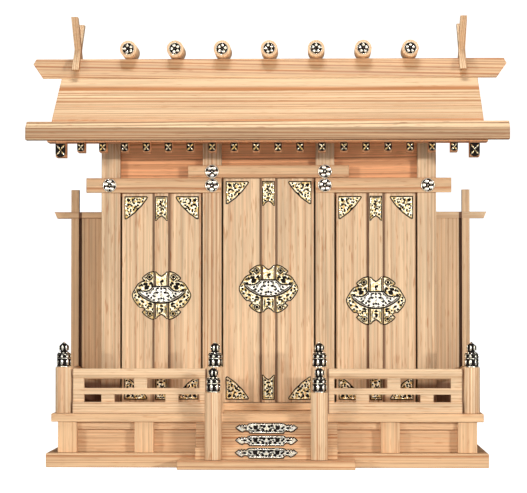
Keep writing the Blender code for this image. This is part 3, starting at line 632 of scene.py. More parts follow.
def evaluated_mesh(host, tree, values):
    """Runs a geometry tree on an object with named input values and returns the plain mesh."""
    modifier = host.modifiers.new(tree.name, "NODES")
    modifier.node_group = tree
    for socket in tree.interface.items_tree:
        if socket.in_out == "INPUT" and socket.name in values:
            modifier[socket.identifier] = values[socket.name]
    bpy.context.view_layer.update()
    result = host.evaluated_get(bpy.context.evaluated_depsgraph_get())
    mesh = bpy.data.meshes.new_from_object(result)
    host.modifiers.remove(modifier)
    while len(mesh.materials) and mesh.materials[0] is None:
        mesh.materials.pop(index=0)
    return mesh


def drawn_mesh(loops, strokes, beads, weight, rise, metal):
    """Closed loops, open strokes and beads as one mesh in drawing millimetres, widened by a weight."""
    drawn = bpy.data.curves.new("drawn lines", "CURVE")
    drawn.dimensions = "3D"
    for closed, group in ((True, loops), (False, strokes)):
        for stroke in group:
            spline = drawn.splines.new("POLY")
            spline.points.add(len(stroke) - 1)
            spline.use_cyclic_u = closed
            for point, (u, v, width) in zip(spline.points, stroke):
                point.co, point.radius = (u, v, 0, 1), width * weight
    spots = bpy.data.meshes.new("bead spots")
    spots.from_pydata([(u, v, 0) for u, v, _ in beads], [], [])
    sizes = spots.attributes.new("size", "FLOAT", "POINT")
    sizes.data.foreach_set("value", [size * weight for _, _, size in beads])
    host = mesh_object("drawn host", bpy.data.meshes.new("drawn host"))
    lines = mesh_object("drawn lines", drawn)
    dots = mesh_object("bead spots", spots)
    values = {"Lines": lines, "Beads": dots, "Rise": rise, "Section Sides": 8,
              "Metal": bpy.data.materials[metal]}
    mesh = evaluated_mesh(host, bpy.data.node_groups["Raised work"], values)
    for helper in (host, lines, dots):
        bpy.data.objects.remove(helper)
    return mesh


def slab(work, outline, low, high, material):
    """A flat plate between two heights."""
    floor = [work.verts.new((u, v, low)) for u, v in outline]
    top = [work.verts.new((u, v, high)) for u, v in outline]
    faces = [work.faces.new(top), work.faces.new(floor[::-1])]
    for k in range(len(outline)):
        after = (k + 1) % len(outline)
        faces.append(work.faces.new((floor[k], floor[after], top[after], top[k])))
    for face in faces:
        face.material_index = material


def stamped(work, art, to_space, thickness=0.5, edge=0.8, rise=0.8):
    """Adds a stamped plate to a mesh: a dark outline that is partly its cut edge and partly a painted contact
    shadow, the plate, its dark openings, a rim and raised work.

    to_space takes (u, v, w) in millimetres to the object's metres. Art is a dictionary: outline, and if
    wanted loops, strokes and beads that are raised, and cuts and holes that are sunk and dark. Dark art is
    sunk ground all over and has no rim.
    """
    sizes = bpy.context.scene.shrine_fittings
    part = bmesh.new()
    # The dark outline under the plate: partly its cut edge, partly a painted contact shadow
    slab(part, inset(art["outline"], -DARK_EDGE_AND_SHADOW), 0.0, thickness * 0.8, 1)
    dark = art.get("dark", False)
    slab(part, inset(art["outline"], edge), thickness * 0.5, thickness, 1 if dark else 0)
    rim = [] if dark else [[(u, v, RIM) for u, v in inset(art["outline"], edge + RIM)]]
    loops = [*rim, *art.get("loops", [])]
    sunk = [], art.get("cuts", []), art.get("holes", []), sizes.cut_weight, OPENING_RISE, "sunk ground"
    raised = loops, art.get("strokes", []), art.get("beads", []), sizes.line_weight, rise, "gilt"
    for index, drawing in ((1, sunk), (0, raised)):
        drawn = drawn_mesh(*drawing)
        drawn.transform(Matrix.Translation((0, 0, thickness)))
        count = len(part.faces)
        part.from_mesh(drawn)
        part.faces.ensure_lookup_table()
        for face in part.faces[count:]:
            face.material_index = index
        bpy.data.meshes.remove(drawn)
    for vertex in part.verts:
        vertex.co = to_space(vertex.co)
    bmesh.ops.recalc_face_normals(part, faces=part.faces)
    mesh = plain_mesh("stamped", part)
    work.from_mesh(mesh)
    bpy.data.meshes.remove(mesh)


def on_front(x, z, face, across=1, upward=1):
    """Places drawing millimetres on a face that looks along -Y."""
    def to_space(spot):
        return Vector((x + across * spot.x / 1000, face - spot.z / 1000, z + upward * spot.y / 1000))
    return to_space


def metals(gilt="gilt"):
    """The metal of the raised work and that of the sunk ground."""
    return bpy.data.materials[gilt], bpy.data.materials["sunk ground"]


def fitting(name, body, work, gilt="gilt"):
    """Finishes a mesh of stamped plates as one piece on its body."""
    place(mesh_object(name, plain_mesh(name, work), *metals(gilt)), body, "gilt_brass")


def both_ways(strokes):
    """Strokes and the same mirrored in u = v."""
    return [*strokes, *[[(v, u, *rest) for u, v, *rest in stroke] for stroke in strokes]]


def swapped(spots):
    """Points and the same mirrored in u = v."""
    return [*spots, *[(v, u, size) for u, v, size in spots]]


def beside(spots):
    """Points and the same mirrored in u = 0."""
    return [*spots, *[(-u, v, size) for u, v, size in spots]]


def corner_art():
    """A right triangle with two full lobes, scrolled all over; the corner is at the origin."""
    lobe = [(23.5, 0), (24.1, 1.2), (23.1, 3.1), (21.3, 5.6), (19.5, 8.1), (17.6, 10.6), (15.8, 12.2),
            (14.3, 12.9)]
    outline = lobed([(0, 0)], lobe, [(13.0, 13.0), *[(v, u) for u, v in reversed(lobe[1:])]], [(0, 23.5)])
    cuts = both_ways(leaves(
        (3.0, 1.7, 6.6, 5.6, 0.55, 0.22), (7.6, 2.3, 10.6, 3.5, 0.42, 0.2),
        (11.6, 2.4, 13.4, 4.6, 0.42, -0.2), (15.0, 2.1, 17.6, 3.6, 0.4, 0.25),
        (18.8, 2.0, 20.6, 3.4, 0.38, -0.2), (9.2, 5.6, 11.4, 7.8, 0.48, 0.25),
        (13.0, 6.6, 15.4, 6.8, 0.42, -0.2), (17.0, 5.4, 15.6, 8.0, 0.36, 0.2),
        (11.0, 9.6, 13.6, 10.6, 0.42, 0.2), (5.2, 8.0, 7.6, 9.0, 0.36, 0.2)))
    holes = swapped([(14.0, 9.2, 0.5), (19.0, 5.0, 0.45), (8.4, 4.4, 0.42), (10.4, 2.0, 0.4)])
    strokes = both_ways([curl(10.6, 5.0, 1.9, 160, 1.3, 0.3, -1), curl(15.9, 4.2, 1.6, 200, 1.2, 0.28),
                         leaf((12.0, 8.4), (16.4, 9.4), 0.32, -0.14)])
    beads = [(6.3, 6.3, 0.6), *swapped([(13.2, 2.2, 0.35), (18.4, 7.0, 0.35)])]
    return {"outline": outline, "cuts": cuts, "holes": [*holes, (11.9, 11.9, 0.5)], "strokes": strokes,
            "loops": [ring(6.3, 6.3, 1.5, 0.26)], "beads": beads}


def tail_art():
    """A swallow-tailed plate that runs along v from 0."""
    outline = both_halves([[(0, 0)], [(6.3, 0)], [(6.3, 25.9), (5.2, 25.6), (2.8, 22.9)]], (0, 21.2))
    lines = [[(side * 4.7, 1.6, 0.16), (side * 4.7, 22.2, 0.16)] for side in (-1, 1)]
    cuts = [
        *leaves(
            (-2.6, 7.4, 1.0, 8.6, 0.6, 0.12), (0.2, 9.6, 1.6, 11.8, 0.5, -0.3),
            (-2.4, 12.4, -0.6, 11.2, 0.4), (-2.4, 17.8, 2.0, 17.6, 0.55, 0.1), (3.4, 5.0, 3.5, 8.0, 0.32),
            (3.4, 10.6, 3.5, 13.4, 0.32), (-3.4, 8.8, -3.5, 11.4, 0.32), (-3.4, 14.6, -3.5, 17.0, 0.32)),
        [(-4.0, 1.5, 0.3), (0, 1.9, 0.34), (4.0, 1.5, 0.3)],
        curl(0.4, 4.6, 2.2, 200, 1.0, 0.42, -1), curl(0.6, 14.6, 2.2, 20, 1.0, 0.42, -1), *lines,
    ]
    strokes = [
        *leaves((-1.6, 20.2, 0, 18.4, 0.3), (1.6, 20.2, 0, 18.4, 0.3)),
        curl(-0.2, 10.0, 2.0, 280, 1.2, 0.28), curl(0.2, 4.6, 1.1, 100, 1.1, 0.26, -1),
    ]
    holes = [(0.2, 10.6, 0.5), (3.3, 19.4, 0.45), (-3.3, 20.6, 0.4)]
    beads = [(2.8, 3.2, 0.3), (-2.8, 6.2, 0.3), (2.8, 15.8, 0.3)]
    return {"outline": outline, "cuts": cuts, "holes": holes, "strokes": strokes, "beads": beads}


def wing_art():
    """The part of a door's medallion left of the strip, a lobed half round about the origin."""
    outline = lobed(
        [(-7.6, 25.4), (-10.6, 25.2), (-13.6, 24.2), (-16.0, 22.6), (-18.4, 20.9)],
        [(-20.7, 18.6), (-20.2, 17.2), (-18.8, 16.3)],
        [(-17.9, 15.4), (-19.8, 15.0), (-22.4, 14.2), (-25.1, 12.1), (-27.4, 8.7), (-29.3, 5.4),
         (-30.8, 2.6), (-31.4, -0.2), (-30.4, -3.6), (-28.4, -7.1), (-25.7, -10.5)],
        [(-23.2, -13.0), (-20.9, -13.0), (-18.7, -14.0)], [(-17.7, -15.6), (-19.3, -16.3)],
        [(-20.7, -17.8), (-18.7, -20.4), (-15.7, -22.7), (-12.4, -24.8), (-10.0, -25.5)], [(-7.6, -25.6)])
    cuts = [
        *leaves(
            (-18.6, 15.2, -14.6, 14.6, 0.5, 0.1), (-10.2, 14.4, -13.6, 11.8, 0.55, 0.12),
            (-19.2, 12.9, -17.2, 10.2, 0.8, 0.1), (-21.6, 12.4, -19.9, 9.3, 0.55, -0.1),
            (-17.9, 6.3, -12.8, 9.9, 0.95, 0.08), (-9.6, 12.8, -11.0, 8.9, 0.5, 0.1),
            (-25.2, 10.3, -22.4, 8.9, 0.5, 0.2), (-27.2, 5.4, -24.6, 7.2, 0.5, -0.15),
            (-28.9, 1.6, -26.8, 3.6, 0.45, 0.2), (-29.3, -1.6, -27.0, -3.4, 0.5, -0.2),
            (-27.4, -6.2, -24.8, -5.0, 0.5, 0.25), (-24.9, -9.8, -22.6, -8.0, 0.55, -0.2),
            (-25.3, -0.4, -24.2, -3.4, 0.5, 0.2), (-22.6, -5.6, -18.6, -8.6, 0.5, 0.12),
            (-21.4, -10.9, -19.2, -12.3, 0.45, 0.2), (-9.7, -10.2, -14.8, -8.9, 0.55, -0.1),
            (-17.4, -11.4, -15.9, -9.8, 0.42), (-9.5, -13.6, -9.5, -16.6, 0.4),
            (-17.6, -16.1, -14.6, -16.7, 0.45, -0.1), (-16.2, -13.2, -16.9, -14.9, 0.4)),
        curl(-13.4, -13.2, 2.0, 40, 0.8, 0.5, 1),
    ]
    holes = [(-12.7, 19.4, 1.35), (-12.3, -19.6, 1.3), (-15.9, 12.2, 0.55), (-22.9, 5.6, 0.6),
             (-27.6, -0.2, 0.5), (-12.6, 15.9, 0.5), (-17.0, 18.6, 0.42), (-16.6, -19.3, 0.42),
             (-11.2, -11.6, 0.42)]
    strokes = [
        *leaves(
            (-15.0, 21.2, -18.8, 18.6, 0.34, 0.1), (-9.2, 22.4, -13.4, 22.3, 0.3, 0.1),
            (-9.2, -22.8, -13.2, -22.3, 0.3, -0.1), (-15.0, -20.8, -18.8, -18.4, 0.34, -0.1),
            (-9.5, 16.4, -15.4, 13.2, 0.36, -0.08), (-22.4, 2.4, -26.4, 0.4, 0.36, 0.1),
            (-10.0, -18.0, -15.6, -14.9, 0.34, 0.1)),
        curl(-23.7, 10.9, 1.2, 20, 1.1, 0.28), curl(-26.2, 5.0, 1.4, 0, 1.1, 0.28),
        curl(-28.3, -3.6, 1.3, 60, 1.1, 0.28, -1), curl(-24.6, -7.0, 1.5, 40, 1.1, 0.3),
        curl(-20.8, -10.3, 1.3, 20, 1.1, 0.28),
    ]
    loops = [ring(-12.7, 19.4, 1.9, 0.3), ring(-12.3, -19.6, 1.85, 0.3)]
    beads = [(-21.4, 8.2, 0.5), (-19.0, 5.0, 0.5), (-25.9, -6.9, 0.4), (-21.4, -7.8, 0.4), (-29.6, 0.4, 0.35),
             (-9.4, 20.0, 0.4), (-9.4, -20.4, 0.4)]
    return {"outline": outline, "cuts": cuts, "holes": holes, "strokes": strokes, "loops": loops,
            "beads": beads}


def blade_art():
    """The two plain plates of a medallion on the strip, above and below the lock bar."""
    upper = both_halves([[(0, 8)], [(6.5, 8), (6.1, 16)], [(6.5, 25.0), (5.4, 24.7), (2.9, 22.3)]], (0, 20.5))
    lower = [(u, -v) for u, v in reversed(upper)]
    above = {
        "outline": upper,
        "cuts": [flow([(1.9, 16.6, 0.2), (1.2, 15.1, 0.55), (-0.2, 14.4, 0.5), (-0.9, 13.0, 0.2)])],
        "holes": [(0.2, 12.0, 0.45)],
        "strokes": leaves((-4.4, 22.2, -4.2, 10.4, 0.3, 0.04), (4.4, 22.2, 4.2, 10.4, 0.3, -0.04)),
    }
    below = {
        "outline": lower,
        "cuts": leaves(
            (-1.8, -11.6, 2.2, -12.2, 0.5, 0.15), (0.2, -13.4, -0.4, -16.0, 0.75),
            (-4.0, -10.4, -4.1, -20.6, 0.26), (4.2, -10.4, 4.3, -20.6, 0.26),
            (1.4, -14.4, 2.5, -16.4, 0.42)),
        "holes": [(-1.7, -18.9, 0.5), (0.4, -17.0, 0.5)],
        "strokes": leaves((-2.8, -12.6, -2.2, -19.6, 0.3, 0.05), (3.0, -13.0, 2.4, -19.4, 0.3, -0.05)),
    }
    return above, below


def bar_art():
    """The lock bar, a boat with pointed ends and a raised middle, scrolled all over."""
    outline = both_halves([
        [(0, -8.6), (5, -8.3), (10.2, -7.4), (15.4, -5.2), (20.4, -2.2), (24.2, 1.2)],
        [(25.8, 3.9), (22.6, 5.0), (19.4, 4.9), (15.8, 4.7), (12.8, 5.7), (10.6, 7.7)],
        [(8.6, 9.6), (4, 9.9)]], (0, 9.9))
    side = [
        *leaves(
            (7.2, 7.4, 9.4, 5.4, 0.42, 0.1), (2.4, 3.0, 4.6, 1.4, 0.5, 0.25),
            (6.4, 3.4, 8.6, 1.4, 0.5, -0.25), (10.4, 3.2, 12.8, 1.0, 0.48, 0.2),
            (14.4, 2.8, 17.0, 1.4, 0.45, -0.2), (5.6, -0.8, 8.0, -2.6, 0.5, 0.2),
            (2.2, -2.4, 4.0, -4.6, 0.48, -0.2), (9.8, -1.2, 12.0, -3.2, 0.45, -0.2),
            (6.2, -5.0, 9.4, -5.6, 0.42, 0.1), (1.4, -6.6, 4.2, -6.6, 0.42),
            (17.6, 3.6, 20.4, 2.8, 0.42, 0.1)),
        curl(4.4, 6.0, 1.3, 160, 0.9, 0.42, -1),
        flow([(23.2, 2.9, 0.15), (18.4, -0.7, 0.34), (13.4, -3.9, 0.38), (9.2, -6.3, 0.15)]),
    ]
    holes = beside([(3.0, 7.9, 0.5), (13.4, -0.6, 0.5), (10.6, 5.2, 0.45), (5.0, 3.2, 0.42),
                    (8.4, -0.4, 0.42), (15.4, -1.4, 0.42)])
    raised = [
        *leaves(
            (13.4, -2.2, 20.6, 1.6, 0.36, -0.06), (2.6, -3.0, 8.0, -4.4, 0.36, 0.1),
            (3.0, 5.0, 8.6, 5.4, 0.34, -0.1)),
        curl(5.9, 1.0, 1.9, 200, 1.3, 0.3), curl(11.4, 1.8, 1.7, 190, 1.2, 0.3, -1),
    ]
    return {"outline": outline, "cuts": [*side, *flip(side), leaf((-0.6, 4.6), (0.6, 2.6), 0.42)],
            "holes": [*holes, (0, -3.4, 0.5), (0, 6.9, 0.5)],
            "strokes": [*raised, *flip(raised)], "loops": [ring(0, 0.2, 1.6, 0.3)], "beads": [(0, 0.2, 0.8)]}


def step_art():
    """The plate on a step: a long block with cross-shaped openings and a pointed leaf at each end."""
    outline = both_halves([
        [(0, -5.2)], [(17.6, -5.2), (18.6, -3.5), (20.6, -2.5), (22.8, -2.9)],
        [(24.6, -4.1), (27.4, -3.1), (29.8, -1.3)], [(31.8, 0.5), (30.0, 2.2)], [(27.8, 3.8)],
        [(26.5, 2.6)], [(25.2, 4.2)], [(23.8, 2.7)], [(22.5, 4.1), (20.8, 3.1)],
        [(18.9, 4.5), (17.2, 5.1), (12, 5.3)]], (0, 5.1))
    side = [
        *leaves(
            (3.2, 2.3, 7.6, 2.1, 0.5, 0.12), (1.0, 2.8, 3.6, 0.4, 0.55, 0.1),
            (2.4, -1.0, 5.0, -3.0, 0.95, 0.05), (7.0, -2.1, 10.2, -3.2, 0.6, 0.2),
            (12.6, -2.6, 15.2, -2.9, 0.36), (15.4, 1.2, 16.6, -0.9, 0.6), (20.2, 1.9, 21.4, 2.9, 0.34),
            (5.6, 0.4, 8.2, 0.2, 0.34)),
        [(9.2, 3.2, 0.3), (10.6, 1.2, 0.62), (11.6, 0.4, 0.8), (12.8, -0.9, 0.3)],
        [(13.2, 2.9, 0.25), (12.3, 1.2, 0.6), (11.4, 0.2, 0.7), (9.4, -0.6, 0.3)],
        [(20.2, 0.3, 0.32), (23.2, 0.4, 0.48), (26.2, 0.3, 0.32)],
    ]
    raised = [
        *leaves(
            (13.6, -0.6, 15.0, 3.4, 0.3, 0.1), (21.0, -1.2, 28.6, -0.6, 0.34, 0.08),
            (22.4, 1.7, 28.4, 1.4, 0.34, -0.08), (2.0, -3.9, 14.8, -4.0, 0.24)),
        curl(6.0, -0.9, 1.6, 170, 1.2, 0.28),
    ]
    return {"outline": outline, "cuts": [*side, *flip(side)],
            "holes": [(0, -2.6, 0.5), *beside([(17.6, 1.4, 0.4), (17.8, -2.0, 0.4)])],
            "strokes": [*raised, *flip(raised)], "beads": [(0, 0.2, 0.6)]}


def marked(tree, geometry, sunk):
    """Geometry whose faces remember whether they are sunk ground."""
    inputs = {"Geometry": geometry, "Name": "sunk", "Value": sunk}
    return out(tree, "GeometryNodeStoreNamedAttribute", inputs, data_type="BOOLEAN", domain="FACE")


def in_two_metals(tree, pieces, take):
    """Real copies, gilt but for the marked faces."""
    gilt = painted(tree, realized(tree, pieces), take["Gilt"])
    return painted(tree, gilt, take["Sunk Ground"], Selection=named(tree, "sunk", "BOOLEAN"))


def turned_by(tree, first, own):
    """A rotation followed by another about the turned axes."""
    return out(tree, "FunctionNodeRotateRotation", {"Rotation": first, "Rotate By": own},
               rotation_space="LOCAL")


def flower_tree():
    """Sets a domed cover with a raised flower on each point, turned about its own axis at random."""
    tree, take, made = new_group("Flower covers", "GeometryNodeTree", {
        "Geometry": "Geometry", "Diameter": 0.0139, "Thickness": 0.0009, "Petals": 5, "Petal Rise": 0.0006,
        "Petal Size": 0.31, "Petal Place": 0.58, "Boss": 0.13, "Rim": 0.00045, "Edge Beads": 24, "Seed": 7,
        "Gilt": "Material", "Sunk Ground": "Material"}, SHAPE)
    reach = times(tree, take["Diameter"], 0.5)
    disc = out(tree, "GeometryNodeMeshCylinder", {
        "Vertices": 40, "Radius": minus(tree, reach, times(tree, take["Rim"], 0.5)),
        "Depth": take["Thickness"]})
    disc = moved(tree, disc, Translation=vector(tree, 0.0, 0.0, times(tree, take["Thickness"], 0.5)))
    inner = minus(tree, reach, take["Rim"])
    loop = out(tree, "GeometryNodeCurvePrimitiveCircle", {"Resolution": 40, "Radius": inner})
    section = out(tree, "GeometryNodeCurvePrimitiveCircle", {"Resolution": 8, "Radius": take["Rim"]})
    rim = out(tree, "GeometryNodeCurveToMesh", {"Curve": loop, "Profile Curve": section})
    drop = ball(tree, 14, 8)
    spin = maths(tree, "DIVIDE", math.tau, take["Petals"])
    turn = rotation(tree, 0.0, 0.0, times(tree, out(tree, "GeometryNodeInputIndex"), spin))
    petal, middle = times(tree, reach, take["Petal Size"]), times(tree, reach, take["Boss"])
    circle = out(tree, "GeometryNodeMeshCircle", {
        "Vertices": take["Petals"], "Radius": times(tree, reach, take["Petal Place"])})
    petals = copies(tree, circle, drop, Rotation=turn, Scale=vector(tree, petal, petal, take["Petal Rise"]))
    circle = out(tree, "GeometryNodeMeshCircle", {"Vertices": take["Edge Beads"], "Radius": inner})
    bead = times(tree, take["Rim"], 1.05)
    edge = copies(tree, circle, drop, Scale=vector(tree, bead, bead, times(tree, take["Rim"], 1.25)))
    boss = moved(tree, drop, Scale=vector(tree, middle, middle, take["Petal Rise"]))
    raised = realized(tree, joined(tree, rim, petals, edge, boss))
    raised = soft(tree, moved(tree, raised, Translation=vector(tree, 0.0, 0.0, take["Thickness"])))
    cover = joined(tree, marked(tree, disc, True), marked(tree, raised, False))
    random = add(tree, "FunctionNodeRandomValue", {2: 0.0, 3: math.tau, "Seed": take["Seed"]},
                 data_type="FLOAT").outputs[1]
    aim = turned_by(tree, rotation(tree, math.pi / 2, 0.0, 0.0), rotation(tree, 0.0, 0.0, random))
    covers = copies(tree, take["Geometry"], cover, Rotation=aim)
    set_inputs(tree, made, {0: in_two_metals(tree, covers, take)})


def on_spots(name, spots, tree, gilt, **values):
    """The plain mesh that a geometry tree makes on some points."""
    mesh = bpy.data.meshes.new("spots")
    mesh.from_pydata(spots, [], [])
    host = mesh_object("spots", mesh)
    raised, ground = metals(gilt)
    made = evaluated_mesh(host, bpy.data.node_groups[tree], {"Gilt": raised, "Sunk Ground": ground, **values})
    bpy.data.objects.remove(host)
    made.name = name
    return made


def covers_piece(name, spots, body, turned_back=False, **sizes):
    """Flower covers on points of a face that looks along -Y, or +Y if turned back, as one piece."""
    made = on_spots(name, spots, "Flower covers", "pale gilt", **sizes)
    if turned_back:
        made.transform(Matrix.Rotation(math.pi, 4, "Z"))
    place(mesh_object(name, made), body, "gilt_brass")


# Parts of a solid whose grain runs another way: limits that they lie beyond, and the turn of the axes
CROSS_GRAIN = {
    "base wood": ({"Y<": -0.0585, "|X|>": 0.2127, "Y>": 0.0888}, ((0, math.pi / 2, 0), (0.07, 0.02, 0))),
    **dict.fromkeys(("wing wood", "right wing wood"), (
        {"Y<": 0.0585, "Y>": 0.0675, "|X|>": 0.2180}, ((0, -math.pi / 2, 0), (0.0, 0.03, 0.0)))),
}

# Woods with painted shade in a band beside upright lines, where the doors' strips, the rails' joints at the
# posts and the wings' grooves cast shadow: the lines' |x|, the band's start, fade and end, its depth
SHADE_BANDS = {
    **dict.fromkeys((f"door wood {bay}" for bay in BAYS), ((0.0, 0.114), 0.0071, 0.0088, 0.0110, 0.72)),
    "rail wood": ((0.06275, 0.20225), 0.0, 0.0010, 0.0017, 0.80),
    **dict.fromkeys(("wing wood", "right wing wood"), ((0.20765,), -1.0, 0.0016, 0.0018, 0.92)),
}

# Woods that are shaded behind the balustrades, and how dark
SHADED_FEET = {"wing wood": 0.88, "right wing wood": 0.82, "pillar wood": 0.75}

# Woods whose upward faces are painted paler, as if lit from above, and by how much of the pale wood
PAINTED_LIT_TOPS = {"eave wood": 1.12}

WOODS = {
    # name: (grain direction, heart, tone, ring, contrast, waviness, fibre, seed, lighter)
    "door wood left": (UPRIGHT, (-0.32, 0.126, 0), "pale", 2.3, 0.5, 0.004, 0.66, 3.0, 0.96),
    "door wood right": (UPRIGHT, (0.25, 0.086, 0), "pale", 2.6, 0.5, 0.005, 0.66, 11.0, 0.95),
    "door wood middle": (UPRIGHT, (0.03, 0.186, 0), "pale", 2.2, 0.5, 0.004, 0.66, 23.0, 0.97),
    "pillar wood": (UPRIGHT, (0.45, 0.226, 0), "pale", 1.6, 0.75, 0.002, 0.64, 5.0, 0.88),
    "wall wood": (UPRIGHT, (0.12, -0.324, 0), "pale", 1.6, 0.60, 0.005, 0.36, 31.0, 0.95),
    "roof wood": (ACROSS, (0, 0.062, 0.345), "pale", 1.15, 1.7, 0.0024, 0.48, 7.0, 1.05),
    "ridge wood": (Vector((1, 0, -0.018)), (0, 0.056, 0.25), "honey", 1.4, 1.8, 0.0015, 0.52, 13.0, 0.81),
    "eave wood": (Vector((1, 0, -0.004)), (0, 0.126, 0.20), "honey", 0.9, 1.5, 0.002, 0.62, 17.0, 0.61),
    "beam wood": (Vector((1, 0, 0.006)), (0, 0.326, 0.22), "honey", 1.3, 1.05, 0.002, 0.58, 19.0, 0.93),
    "board wood": (ACROSS, (0, 0.056, -0.18), "honey", 1.3, 1.05, 0.002, 0.52, 89.0, 0.92),
    "base wood": (ACROSS, (0, 0.056, -0.10), "honey", 1.5, 0.4, 0.002, 0.52, 29.0, 1.0),
    "floor wood": (ACROSS, (0, -0.274, 0.02), "honey", 1.2, 0.85, 0.003, 0.52, 37.0, 0.98),
    "step wood": (Vector((1, 0, 0.004)), (0, -0.024, -0.20), "honey", 1.1, 1.25, 0.002, 0.42, 83.0, 0.90),
    "rail wood": (ACROSS, (0, 0.076, 0.35), "pale", 1.2, 0.42, 0.003, 0.5, 41.0, 0.95),
    "side rail wood": (DEEP, (0.4, 0, 0.2), "pale", 1.2, 0.62, 0.003, 0.40, 43.0, 0.98),
    "post wood": (UPRIGHT, (-0.25, -0.274, 0), "pale", 1.1, 0.95, 0.003, 0.5, 47.0, 0.97),
    "log wood": (DEEP, (0.10, 0, 0.47), "pale", 1.0, 0.55, 0.003, 0.25, 53.0, 1.04),
    "chigi wood": (UPRIGHT, (0.60, 0.043, 0), "pale", 1.1, 0.75, 0.003, 0.34, 59.0, 0.94),
    "wing wood": (UPRIGHT, (0.21, 0.276, 0), "honey", 1.5, 0.5, 0.005, 0.44, 61.0, 0.92),
    # The right wing's wood is a lighter copy of the wing wood: painted light, as if lit more from the right
    "right wing wood": (UPRIGHT, (-0.21, 0.276, 0), "pale", 1.5, 0.42, 0.005, 0.44, 62.0, 0.98),
    # The rafters and frieze carry painted reddish shade from under the eaves, the rafters darker still
    "rafter wood": (DEEP, (0.1, 0, 0.40), "ruddy_shade", 0.9, 0.60, 0.002, 0.3, 67.0, 0.72),
    "frieze wood": (Vector((1, 0, 0.01)), (0, 0.086, 0.25), "ruddy_shade", 1.2, 0.80, 0.005, 0.48, 71.0, 0.98),
}

BOARDS = {
    "pillar wood": ("inner_pillar_left", "inner_pillar_right", "outer_pillar_left", "outer_pillar_right"),
    "wall wood": ("side_wall_left", "side_wall_right", "back_wall", "partition_left", "partition_right",
                  "attic_frame"),
    "roof wood": ("roof_slope_front", "roof_slope_back"),
    "ridge wood": ("ridge_beam",),
    "eave wood": ("eave_board_front",),
    "beam wood": ("lower_nageshi_left", "lower_nageshi_right", "upper_nageshi"),
    "board wood": ("base_board", "step_platform"),
    "base wood": ("base_frame",),
    "floor wood": ("floor", "sill"),
    "step wood": ("stair",),
    "rail wood": ("balustrade_front_left", "balustrade_front_right"),
    "side rail wood": ("balustrade_side_left", "balustrade_side_right", "bargeboard_left",
                       "bargeboard_right"),
    "chigi wood": ("chigi_left", "chigi_right"),
    "wing wood": ("wing_left",),
    "right wing wood": ("wing_right",),
    "rafter wood": ("rafters_front",),
    "frieze wood": ("frieze_panel",),
    "door wood left": ("left_door_left", "right_door_left", "middle_door_right"),
    "door wood right": ("left_door_right", "right_door_right"),
    "door wood middle": ("middle_door_left",),
}


class SHRINE_OT_woods(bpy.types.Operator):
    """Makes the softwoods and gives each board its own"""

    bl_idname = "shrine.woods"
    bl_label = "Softwood Boards"

    def execute(self, context):
        softwood_group()
        for name, figure in WOODS.items():
            softwood(name, *figure)
        for wood, nodes in BOARDS.items():
            for node in nodes:
                mesh = frame["nodes"][node].data
                mesh.materials.clear()
                mesh.materials.append(bpy.data.materials[wood])
        return {"FINISHED"}


def turned_piece(name, profile, centre, axis, wood, slot, *stands_for):
    """Places a turned rod on the shrine's body."""
    mesh = turned_mesh(name, profile, Vector(centre), axis)
    place(mesh_object(name, mesh, bpy.data.materials[wood]), "shrine", slot, *stands_for)


class SHRINE_OT_turned(bpy.types.Operator):
    """Turns the posts, ridge logs and top rails smooth and round"""

    bl_idname = "shrine.turned"
    bl_label = "Turned Posts and Logs"

    def execute(self, context):
        for kind in POSTS:
            for side in SIDES:
                node = f"{kind}_{side}"
                low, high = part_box(node)
                middle, radius = (low + high) / 2, (high.x - low.x) / 2
                profile = rod_profile(radius, low.z, high.z, ROD_EDGES["post"])
                turned_piece(f"round_{node}", profile, (middle.x, middle.y, 0), UPRIGHT, "post wood",
                             "body_softwood", node)
        for run, direction, wood in (("front", ACROSS, "rail wood"), ("side", DEEP, "side rail wood")):
            for side in SIDES:
                low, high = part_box(f"balustrade_{run}_{side}")
                middle = (low + high) / 2
                middle.z = high.z - TOP_RAIL_DROP
                half = (high - low).dot(direction) / 2 + TOP_RAIL_REACH
                profile = rod_profile(TOP_RAIL_RADIUS, -half, half, ROD_EDGES["rail"])
                turned_piece(f"top_rail_{run}_{side}", profile, middle, direction, wood, "body_softwood")
        for count in range(1, LOG_COUNT + 1):
            node = f"ridge_log_{count}"
            low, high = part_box(node)
            middle, radius = (low + high) / 2, (high.x - low.x) / 2
            profile = rod_profile(radius, -high.y, -low.y, ROD_EDGES["log"])
            turned_piece(f"round_{node}", profile, (middle.x, 0, middle.z), -DEEP, "log wood",
                         "roof_softwood", node)
        return {"FINISHED"}


def metal_group():
    """Worn stamped metal: colour, roughness and height."""
    tree, take, made = new_group("Stamped metal", "ShaderNodeTree", {
        "Vector": "Vector", "Bright": (0.9, 0.68, 0.32, 1), "Tarnish": (0.45, 0.27, 0.08, 1),
        "Amount": 0.3, "Roughness": 0.25}, SHADED)
    cloud = noise(tree, take["Vector"], (420.0, 420.0, 420.0), 3.0, 0.6).outputs[0]
    grit = noise(tree, take["Vector"], (2600.0, 2600.0, 2600.0), 2.0, 0.6).outputs[0]
    worn = times(tree, smooth(tree, cloud, 0.42, 0.60), take["Amount"])
    dull = plus(tree, times(tree, worn, 0.25), times(tree, grit, 0.12))
    set_inputs(tree, made, {
        "Color": mixed(tree, worn, take["Bright"], take["Tarnish"]),
        "Roughness": plus(tree, take["Roughness"], dull), "Height": grit})


